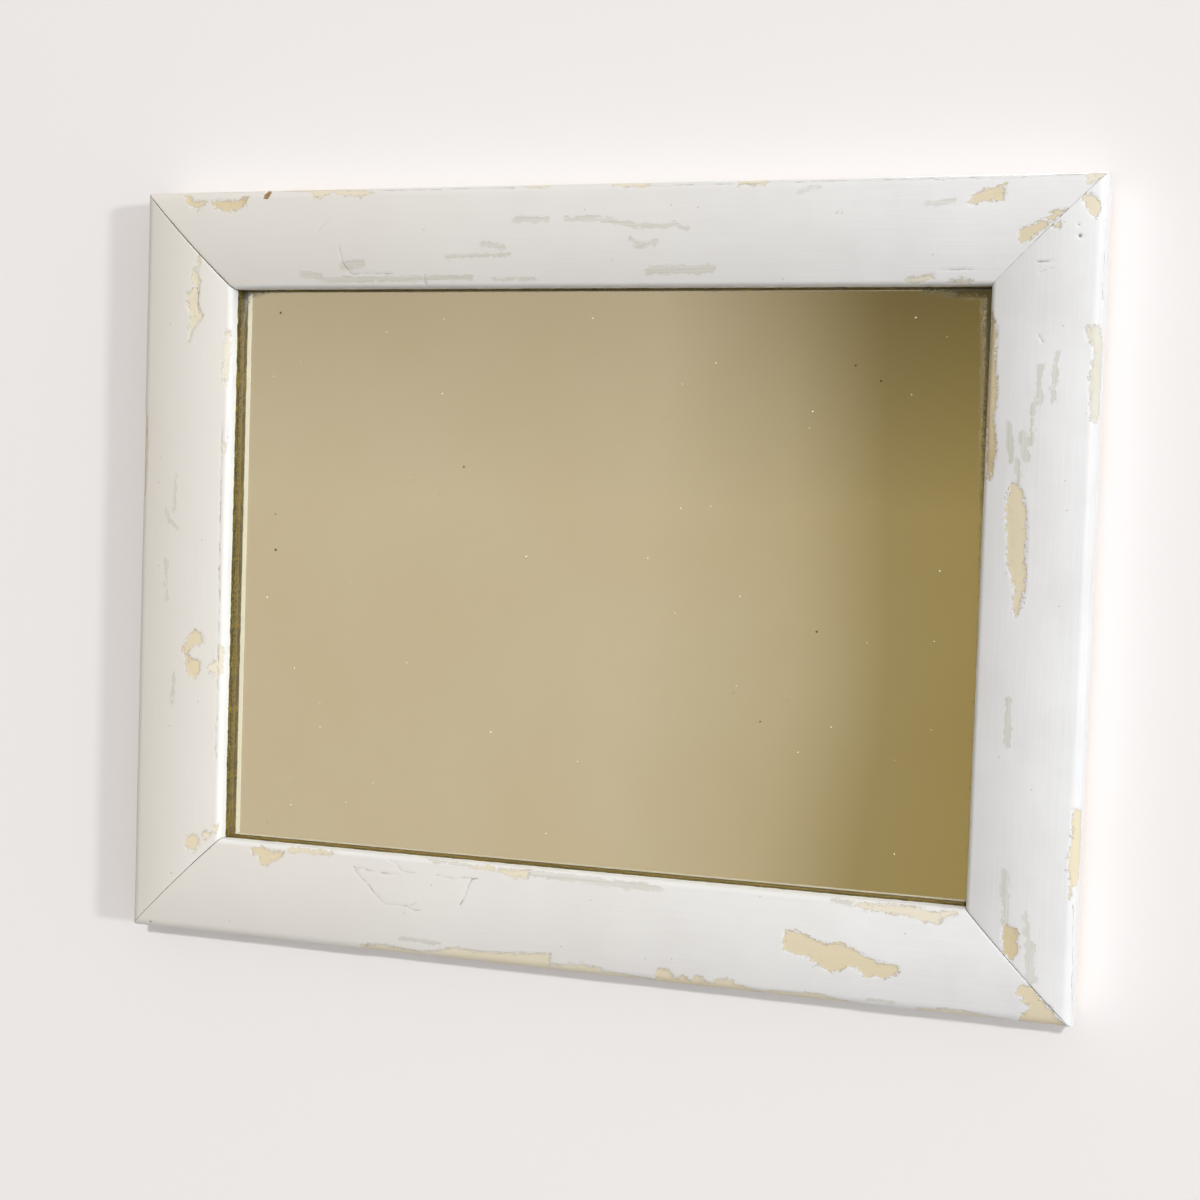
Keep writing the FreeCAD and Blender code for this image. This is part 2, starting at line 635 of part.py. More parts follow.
def rebate_sheet(name, thickness, layers_before):
    """A flat sheet that stands on the bottom rebate, behind the layers named before it."""
    sheet_box = doc.addObject("Part::Box", name)
    half = "(Sizes.sight_width / 2 + Sizes.rebate_width - Sizes.glass_side_gap)"
    bind(
        sheet_box,
        Length=f"2 * {half}",
        Width=f"Sizes.{thickness}",
        Height="Sizes.sight_height + 2 * Sizes.rebate_width - Sizes.glass_top_gap",
    )
    front = " + ".join([f"-{REBATE_DEPTH}"] + [f"Sizes.{layer}" for layer in layers_before])
    place(sheet_box, Rotation(), x=f"-{half}", y=front, z="-(Sizes.sight_height / 2 + Sizes.rebate_width)")
    return sheet_box


# The layers in the rebate.
nodes = []
layers = []
for name, thickness in (
    ("mirror_glass", "glass_thickness"),
    ("silver_coat", "coat_thickness"),
    ("packing_card", "card_thickness"),
    ("backing_board", "board_thickness"),
):
    nodes.append(rebate_sheet(name, thickness, layers))
    layers.append(thickness)

# The nails and fasteners of each corner, and the holes that they need in the two rails there.
rail_cuts = {side: [] for side in SIDES}
for corner, data in CORNERS.items():
    nails = []
    for side, end in data["ends"]:
        nails.append(nail(f"{corner}_nail_in_{side}", side, end))
        for cut_side, _ in data["ends"]:
            rail_cuts[cut_side].append(nail_hole(f"{corner}_{side}_nail_hole_in_{cut_side}", side, end))
    nodes.append(group(f"{corner}_nails", nails))
    nodes.append(corner_fasteners(corner))
    slots = corner_slots(corner)
    for side, _ in data["ends"]:
        rail_cuts[side].append(slots)

# The brads of each side.
for side in SIDES:
    brads = []
    for index, along in enumerate(brad_places(side), start=1):
        brads.append(brad(f"{side}_brad_{index}", side, along))
        rail_cuts[side].append(brad_hole(f"{side}_brad_hole_{index}", side, along))
    nodes.append(group(f"{side}_brads", brads))

# The hangers.
for side in HANGERS:
    screws = []
    for index, drop in enumerate(SCREW_DROPS, start=1):
        screws.append(hanger_screw(f"{side}_hanger_screw_{index}", side, drop))
        rail_cuts[side].append(screw_hole(f"{side}_hanger_screw_hole_{index}", side, drop))
    nodes.append(hanger_strap(side))
    nodes.append(d_ring(side))
    nodes.append(group(f"{side}_hanger_screws", screws))

# The rails, cut from their blanks.
for side in SIDES:
    rail = doc.addObject("Part::Cut", f"{side}_rail")
    rail.Base = rail_blank(side)
    rail.Tool = group(f"{side}_rail_cuts", rail_cuts[side])
    nodes.append(rail)

doc.recompute()

for obj in doc.Objects:
    if "Invalid" in obj.State or "Error" in obj.State:
        raise RuntimeError(f"{obj.Name} failed: {obj.State}")
for node in nodes:
    if node.Shape.isNull() or not node.Shape.isValid() or not node.Shape.Solids:
        raise RuntimeError(f"{node.Label} is not a valid solid")
for side in SIDES:
    blank = doc.getObject(f"{side}_rail_blank").Shape.Volume
    drilled = doc.getObject(f"{side}_rail").Shape.Volume
    print(f"{side} rail: {blank:.0f} mm3 before drilling, {drilled:.0f} after")

os.makedirs("parts", exist_ok=True)
for node in nodes:
    node.Shape.exportStep(os.path.join("parts", f"{node.Label}.step"))
    print(f"{node.Label}: {len(node.Shape.Solids)} solid(s), {node.Shape.Volume:.1f} mm3")
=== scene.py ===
# %% [markdown]
# # A painted wall mirror
# The mirror is a plate of silvered glass in four lengths of rounded moulding, mitred at the corners and
# painted white over cream, many years ago. The solids of every piece are already packed. This lesson dresses
# them: the rails are modelled again with worn paint, and every other piece gets its own material.
# One unit is one metre. X is to the right, Z is up, and the mirror looks along -Y.

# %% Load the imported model
import math
from functools import partial
import bmesh
import bpy
import numpy as np
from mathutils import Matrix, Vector, noise


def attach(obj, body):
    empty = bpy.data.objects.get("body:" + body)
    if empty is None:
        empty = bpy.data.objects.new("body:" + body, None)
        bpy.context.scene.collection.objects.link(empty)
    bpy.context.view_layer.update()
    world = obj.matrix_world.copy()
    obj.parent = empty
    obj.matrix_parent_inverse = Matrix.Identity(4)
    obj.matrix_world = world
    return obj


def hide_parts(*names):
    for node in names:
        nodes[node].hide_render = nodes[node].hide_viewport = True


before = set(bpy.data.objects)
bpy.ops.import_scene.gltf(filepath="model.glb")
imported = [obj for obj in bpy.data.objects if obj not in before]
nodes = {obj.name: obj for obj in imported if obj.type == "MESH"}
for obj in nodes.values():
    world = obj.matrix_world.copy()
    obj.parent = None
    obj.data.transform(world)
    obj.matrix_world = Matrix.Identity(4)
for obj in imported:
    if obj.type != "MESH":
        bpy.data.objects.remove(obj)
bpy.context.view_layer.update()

MM = 0.001

# %% [markdown]
# ## Small tools
# Colours are picked as sRGB hex values, as they look on a screen, but shaders count light, so one function
# turns them to linear values. The next adds one shader node with its settings and links. Operators act on
# everything that is selected, so a new piece starts with all deselected.

# %% Tools
def colour(code):
    """An sRGB hex colour as linear red, green, blue and alpha."""
    parts = [int(code[i:i + 2], 16) / 255 for i in (1, 3, 5)]
    return [p / 12.92 if p <= 0.04045 else ((p + 0.055) / 1.055) ** 2.4 for p in parts] + [1.0]


COLOURS = {"out": 2, "data_type": "RGBA"}  # what makes a Mix node mix colours


def add(tree, kind, feeds=None, out=0, stops=(), **settings):
    """One shader node: feeds gives its inputs a value or another node's output, stops the colours of a ramp."""
    made = tree.nodes.new("ShaderNode" + kind)
    for name, setting in settings.items():
        setattr(made, name, setting)
    for socket, source in (feeds or {}).items():
        if isinstance(source, bpy.types.NodeSocket):
            tree.links.new(source, made.inputs[socket])
        else:
            made.inputs[socket].default_value = source
    for index, (position, code) in enumerate(stops):
        ramp = made.color_ramp.elements
        stop = ramp[index] if index < 2 else ramp.new(position)
        stop.position, stop.color = position, colour(code)
    return made.outputs[out] if made.outputs else None


def new_material(name):
    """An empty material, and the function that adds nodes to it."""
    made = bpy.data.materials.new(name)
    made.use_nodes = True
    made.node_tree.nodes.clear()
    return made, partial(add, made.node_tree)


def dress(obj, material):
    """Gives a piece one material all over."""
    obj.data.materials.clear()
    obj.data.materials.append(material)


def start_piece(name, primitive, **settings):
    """Adds a primitive with nothing else selected, puts its place in its mesh, and opens it in edit mode."""
    bpy.ops.object.select_all(action="DESELECT")
    primitive(**settings)
    made = bpy.context.object
    made.name = made.data.name = name
    bpy.ops.object.transform_apply(location=True, rotation=True, scale=True)
    bpy.ops.object.mode_set(mode="EDIT")
    bpy.ops.mesh.select_all(action="SELECT")
    return made


def end_piece():
    """Leaves edit mode."""
    bpy.ops.object.mode_set(mode="OBJECT")


print("a grey of #808080 is", round(colour("#808080")[0], 3), "of the light of white")

# %% [markdown]
# ## The camera
# The picture was taken from the right of the mirror and a little above its middle, from about a metre away.
# The place, the turn and the lens come from fitting the frame's corners and mitres in the picture.

# %% Camera
SENSOR, LENS = 36.0, 56.67  # millimetres
STANDPOINT = (295.8, -914.2, 34.9)  # millimetres
TURN = (87.333, -1.891, 17.720)  # degrees
camera = bpy.data.objects.new("camera", bpy.data.cameras.new("camera"))
bpy.context.scene.collection.objects.link(camera)
camera.data.sensor_width = SENSOR
camera.data.lens = LENS
camera.location = [x * MM for x in STANDPOINT]
camera.rotation_euler = [math.radians(angle) for angle in TURN]
bpy.context.scene.camera = camera
bpy.context.scene.view_settings.view_transform = "Standard"
print("camera at", [round(x, 3) for x in camera.location])

# %% [markdown]
# ## The stage: a wall and a floor
# The mirror hangs on a plain pale wall, over a pale floor. The wall takes the mirror's shadow. It doesn't show
# from behind, and it has an opening that the mirror covers, so that the back can be looked at in good light too.
# The opening is made by insetting the plane's one face, sizing the inner face and deleting it. The floor takes
# light but throws none back up, as in a tall room, so that the shadow under the frame stays deep.

# %% Wall and floor
WALL_GAP = 5.0 * MM
WALL_SIZE = 10.0
OPENING = (0.478, 0.376)
FLOOR_SIZE, FLOOR_DROP = 10.0, 1.3
wall = start_piece("wall", bpy.ops.mesh.primitive_plane_add, size=WALL_SIZE, location=(0, WALL_GAP, 0),
                   rotation=(math.radians(90), 0, 0))
bpy.ops.mesh.inset(thickness=WALL_SIZE / 4)
bpy.ops.transform.resize(value=(OPENING[0] / (WALL_SIZE / 2), 1, OPENING[1] / (WALL_SIZE / 2)),
                         center_override=(0, WALL_GAP, 0))
bpy.ops.mesh.delete(type="FACE")
end_piece()
wall_paint, put = new_material("pale_wall_paint")
behind = put("NewGeometry", out="Backfacing")
matt = put("BsdfDiffuse", {"Color": colour("#F2EFEE")})
shown = put("MixShader", {0: behind, 1: matt, 2: put("BsdfTransparent")})
put("OutputMaterial", {"Surface": shown})
dress(wall, wall_paint)

floor = start_piece("floor", bpy.ops.mesh.primitive_plane_add, size=FLOOR_SIZE, location=(0, 0, -FLOOR_DROP))
end_piece()
floor_paint, put = new_material("pale_floor_paint")
put("OutputMaterial", {"Surface": put("BsdfDiffuse", {"Color": colour("#E9E6E1")})})
dress(floor, floor_paint)
floor.visible_diffuse = False
print("wall", WALL_GAP / MM, "mm behind the rails, floor", FLOOR_DROP, "m below the middle")

# %% [markdown]
# ## The room that the mirror shows
# A mirror shows what stands in front of it. A plain curved screen stands round the camera for that, seen only
# in reflections. It is beige, like a lived-in room, and darker straight in front of the mirror than to the
# left, which gives the glass its slow change from light tan to olive. The screen glows by itself, so the glass
# shows a painted reflection, with painted shade high up and most of all to the right.

# %% Reflected room
ROOM_RADIUS, ROOM_HEIGHT, ROOM_START = 3.0, 6.0, -0.4
room = start_piece("reflected_room", bpy.ops.mesh.primitive_cylinder_add, vertices=96, radius=ROOM_RADIUS,
                   depth=ROOM_HEIGHT, end_fill_type="NOTHING")
bpy.ops.mesh.bisect(plane_co=(0, ROOM_START, 0), plane_no=(0, 1, 0), clear_outer=True)
end_piece()
room_paint, put = new_material("beige_room_screen")
spot = put("TexCoord", out="Object")
place = put("SeparateXYZ", {0: spot}).node.outputs
soft = put("TexNoise", {"Vector": spot, "Scale": 0.9, "Detail": 1.0})
lean = put("Math", {0: soft, 1: 0.25, 2: place["X"]}, operation="MULTIPLY_ADD")
sweep = put("MapRange", {"Value": lean, 1: -1.9, 2: 0.1})
tone = put("ValToRGB", {0: sweep}, stops=(
    (0.0, "#CDC1B0"), (0.60, "#CDC1AF"), (0.74, "#BFB299"), (0.84, "#A1926C"), (1.0, "#9D8C59")))
# painted shade: the screen is darker high up, most of all to the right
high = put("MapRange", {"Value": place["Z"], 1: 0.05, 2: 0.55})
corner = put("MapRange", {"Value": place["X"], 1: -0.80, 2: -0.30, 3: 0.22, 4: 0.58})
shade = put("Math", {0: high, 1: corner}, operation="MULTIPLY")
tone = put("Mix", {0: shade, 6: tone, 7: colour("#2A2008")}, **COLOURS)
# the screen gives off its own light, so what the glass shows is a painted reflection
put("OutputMaterial", {"Surface": put("Emission", {"Color": tone})})
dress(room, room_paint)
room.visible_camera = room.visible_diffuse = room.visible_shadow = False
print("reflected room", ROOM_RADIUS, "m round the mirror")

# %% [markdown]
# ## Light
# A room with a window gives light from everywhere, more from above and from the window's side, and warmer from
# the room's side, where it has met other things first. The window is a round, slightly cool lamp on the right,
# far enough off to light the wall evenly. So the left edge of the frame is in shade, and its shadow falls to the
# left on the wall. A lamp under the ceiling brightens what faces up, and leaves a narrow dark shadow under the
# frame. Together they make a white surface that faces the room just white, so colours show as they are written. A
# last lamp lights the back: light linking lets it pass the wall, and keeps it off the floor.

# %% Lamps and surrounding light
LAMP_DISTANCE = 8.0
WINDOW_LEVEL, CEILING_LEVEL, BACK_LEVEL = 1.01, 1.25, 1.6


def hang_lamp(name, kind, direction, **settings):
    """A lamp in a direction from the mirror, which shines at the mirror's middle."""
    lamp = bpy.data.lights.new(name, kind)
    for setting, value in settings.items():
        setattr(lamp, setting, value)
    made = bpy.data.objects.new(name, lamp)
    bpy.context.scene.collection.objects.link(made)
    made.location = Vector(direction).normalized() * LAMP_DISTANCE
    made.rotation_euler = Vector(direction).to_track_quat("Z", "Y").to_euler()
    return made


hang_lamp("window_light", "AREA", (0.82, -0.56, 0.09), shape="DISK", size=0.75,
          color=colour("#F3FAFF")[:3], energy=WINDOW_LEVEL * math.pi * LAMP_DISTANCE ** 2)
hang_lamp("ceiling_light", "SUN", (0.24, -0.90, 0.37), energy=CEILING_LEVEL, angle=math.radians(3))
back_light = hang_lamp("back_light", "SUN", (0.0, 0.90, 0.40), energy=BACK_LEVEL, angle=math.radians(20))
passed, unlit = (bpy.data.collections.new(name + "_by_back_light") for name in ("passed", "unlit"))
for group, left_out in ((passed, wall), (unlit, floor)):
    group.objects.link(left_out)
    group.collection_objects[0].light_linking.link_state = "EXCLUDE"
back_light.light_linking.blocker_collection = passed
back_light.light_linking.receiver_collection = unlit
world = bpy.data.worlds.new("studio")
bpy.context.scene.world = world
world.use_nodes = True
world.node_tree.nodes.clear()
put = partial(add, world.node_tree)
path = put("LightPath").node.outputs
seen = put("Math", {0: path["Is Camera Ray"], 1: path["Is Glossy Ray"]}, operation="MAXIMUM")
seen = put("Math", {0: seen, 1: path["Is Transmission Ray"]}, operation="MAXIMUM")
towards = put("SeparateXYZ", {0: put("TexCoord", out="Generated")}).node.outputs
aside = put("MapRange", {"Value": towards["X"], 1: -1.0, 2: 1.0})
level = put("MapRange", {"Value": aside, 3: 0.11, 4: 0.77})
level = put("Math", {0: towards["Z"], 1: 0.22, 2: level}, operation="MULTIPLY_ADD")
tint = put("Mix", {0: aside, 6: colour("#FFF3E4"), 7: colour("#FCFDFF")}, **COLOURS)
ambient = put("Background", {"Color": tint, "Strength": level})
backdrop = put("Background", {"Color": colour("#F1EEED"), "Strength": 1.0})
put("OutputWorld", {"Surface": put("MixShader", {0: seen, 1: ambient, 2: backdrop})})
print("three lamps and a pale surround")

# %% [markdown]
# ## The moulding
# A moulding is a stick of wood run past a shaped knife, so its section is the same all along. The section is
# drawn here as the knife's edge runs: up the outer side, round the outer edge, over the low crown, round the
# lip by the glass, down the lip, and back along the rebate that holds the glass. A vertex is extruded for the
# straight parts and spun about a centre for the round ones, which gives true arcs.

# %% Sizes of the section, in millimetres
WIDTH = 51.0
SIDE = 18.0
OUTER_ROUND = 6.0
CROWN = 90.0
REBATE_WIDTH, REBATE_DEPTH = 7.0, 10.0
ARRIS = np.array([49.2, 21.0])
LIP_ROUND = 4.0
OUTER_HALF = {"long": 248.0, "short": 197.0}
STEPS = {"side": 18, "round": 11, "crown": 52, "lip": 5, "foot": 9, "back": 22}
round_centre = np.array([OUTER_ROUND, SIDE])
reach = np.linalg.norm(ARRIS - round_centre)
along = ((CROWN - OUTER_ROUND) ** 2 - CROWN ** 2 + reach ** 2) / (2 * reach)
aside = math.sqrt((CROWN - OUTER_ROUND) ** 2 - along ** 2)
line = (ARRIS - round_centre) / reach
crown_centre = round_centre + line * along + np.array([line[1], -line[0]]) * aside
lip_centre = np.array([WIDTH - LIP_ROUND, 0.0])
lip_centre[1] = ARRIS[1] - math.sqrt(LIP_ROUND ** 2 - (ARRIS[0] - lip_centre[0]) ** 2)
print("crown's centre", crown_centre.round(2), "lip's centre", lip_centre.round(2))

# %% Draw the section
def bearing(centre, point):
    """The angle of a point of the section as seen from a centre."""
    return math.atan2(point[1] - centre[1], point[0] - centre[0])


def go(inward, up):
    """Runs the section on in a straight line."""
    bpy.ops.mesh.extrude_region_move(TRANSFORM_OT_translate={"value": (0, -up * MM, inward * MM)})


def turn(centre, angle, steps):
    """Runs the section on round a centre."""
    bpy.ops.mesh.spin(steps=steps, angle=angle, axis=(1, 0, 0),
                      center=(-OUTER_HALF["long"] * MM, -centre[1] * MM, centre[0] * MM))


stick = start_piece("moulding_stick", bpy.ops.mesh.primitive_plane_add, size=MM,
                    location=(-OUTER_HALF["long"] * MM, 0, 0))
bpy.ops.mesh.merge(type="CENTER")
tangent = bearing(crown_centre, round_centre)
for step in range(STEPS["side"]):
    go(0, SIDE / STEPS["side"])
turn(round_centre, math.pi - tangent, STEPS["round"])
turn(crown_centre, tangent - bearing(crown_centre, ARRIS), STEPS["crown"])
turn(lip_centre, bearing(lip_centre, ARRIS), STEPS["lip"])
for step in range(STEPS["foot"]):
    go(0, (REBATE_DEPTH - lip_centre[1]) / STEPS["foot"])
go(-REBATE_WIDTH, 0)
go(0, -REBATE_DEPTH)
for step in range(STEPS["back"]):
    go((REBATE_WIDTH - WIDTH) / STEPS["back"], 0)
bpy.ops.mesh.select_all(action="SELECT")
bpy.ops.mesh.remove_doubles(threshold=0.02 * MM)
section = np.array([(v.co.z / MM, -v.co.y / MM) for v in bmesh.from_edit_mesh(stick.data).verts])
print(len(section), "points in the section, highest", section[:, 1].max().round(2), "mm")

# %% [markdown]
# ## From the stick to four rails
# The section is extruded to a stick as long as the longest rail. It is then divided every 0.8 mm, because the
# chips in the paint will be pressed into the mesh. Each rail is a copy of the stick, turned to its side of the
# frame and sawn off at 45 degrees at both ends. Old joints open a little as the wood shrinks, so each saw cut
# leaves a hair's breadth, widest at the top left.

# %% Run the section out
def pick_lengthwise(mesh):
    """Selects the edges of a mesh in edit mode that run along X, and nothing else."""
    bpy.ops.mesh.select_all(action="DESELECT")
    bpy.context.tool_settings.mesh_select_mode = (False, True, False)
    shape = bmesh.from_edit_mesh(mesh)
    for edge in shape.edges:
        if abs(edge.verts[0].co.x - edge.verts[1].co.x) > 0.01 * MM:
            edge.select_set(True)
    shape.select_flush_mode()
    bmesh.update_edit_mesh(mesh)


bpy.ops.mesh.select_all(action="SELECT")
bpy.ops.mesh.extrude_region_move(TRANSFORM_OT_translate={"value": (2 * OUTER_HALF["long"] * MM, 0, 0)})
for pass_number in range(2):
    pick_lengthwise(stick.data)
    bpy.ops.mesh.subdivide(number_cuts=24)
bpy.ops.mesh.select_all(action="SELECT")
bpy.ops.mesh.normals_make_consistent(inside=False)
end_piece()
print("stick of", len(stick.data.polygons), "faces")

# %% Turn, place and mitre the rails
RAILS = {
    "bottom": {"turn": 0, "out": (0, -1)},
    "left": {"turn": 90, "out": (-1, 0)},
    "top": {"turn": 180, "out": (0, 1)},
    "right": {"turn": -90, "out": (1, 0)},
}
JOINT_GAP = {(-1, 1): 0.20, (1, 1): 0.0, (-1, -1): 0.05, (1, -1): 0.06}


def cut_rail(side, turn, out):
    """A copy of the stick on one side of the frame, mitred at both ends."""
    bpy.ops.object.select_all(action="DESELECT")
    rail = stick.copy()
    rail.data = stick.data.copy()
    bpy.context.scene.collection.objects.link(rail)
    rail.name = rail.data.name = f"painted_{side}_rail"
    rail.rotation_euler = (0, math.radians(turn), 0)
    rail.location = (out[0] * OUTER_HALF["long"] * MM, 0, out[1] * OUTER_HALF["short"] * MM)
    rail.select_set(True)
    bpy.context.view_layer.objects.active = rail
    bpy.ops.object.transform_apply(location=True, rotation=True, scale=True)
    bpy.ops.object.mode_set(mode="EDIT")
    for end in (-1, 1):
        corner = (out[0] or end, out[1] or end)
        away = Vector((end, 0, -out[1]) if out[1] else (-out[0], 0, end)).normalized()
        at = Vector((corner[0] * OUTER_HALF["long"] * MM, 0, corner[1] * OUTER_HALF["short"] * MM))
        bpy.ops.mesh.select_all(action="SELECT")
        bpy.ops.mesh.bisect(plane_co=at - away * JOINT_GAP[corner] * MM, plane_no=away,
                            clear_outer=True, use_fill=True)
    bpy.ops.mesh.select_all(action="SELECT")
    bpy.ops.mesh.normals_make_consistent(inside=False)
    end_piece()
    bpy.ops.object.shade_smooth_by_angle(angle=math.radians(30))
    return rail


rails = {side: cut_rail(side, **RAILS[side]) for side in RAILS}
bpy.data.objects.remove(stick)
for side, rail in rails.items():
    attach(rail, "frame")
    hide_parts(f"{side}_rail")
    print(rail.name, len(rail.data.polygons), "faces")
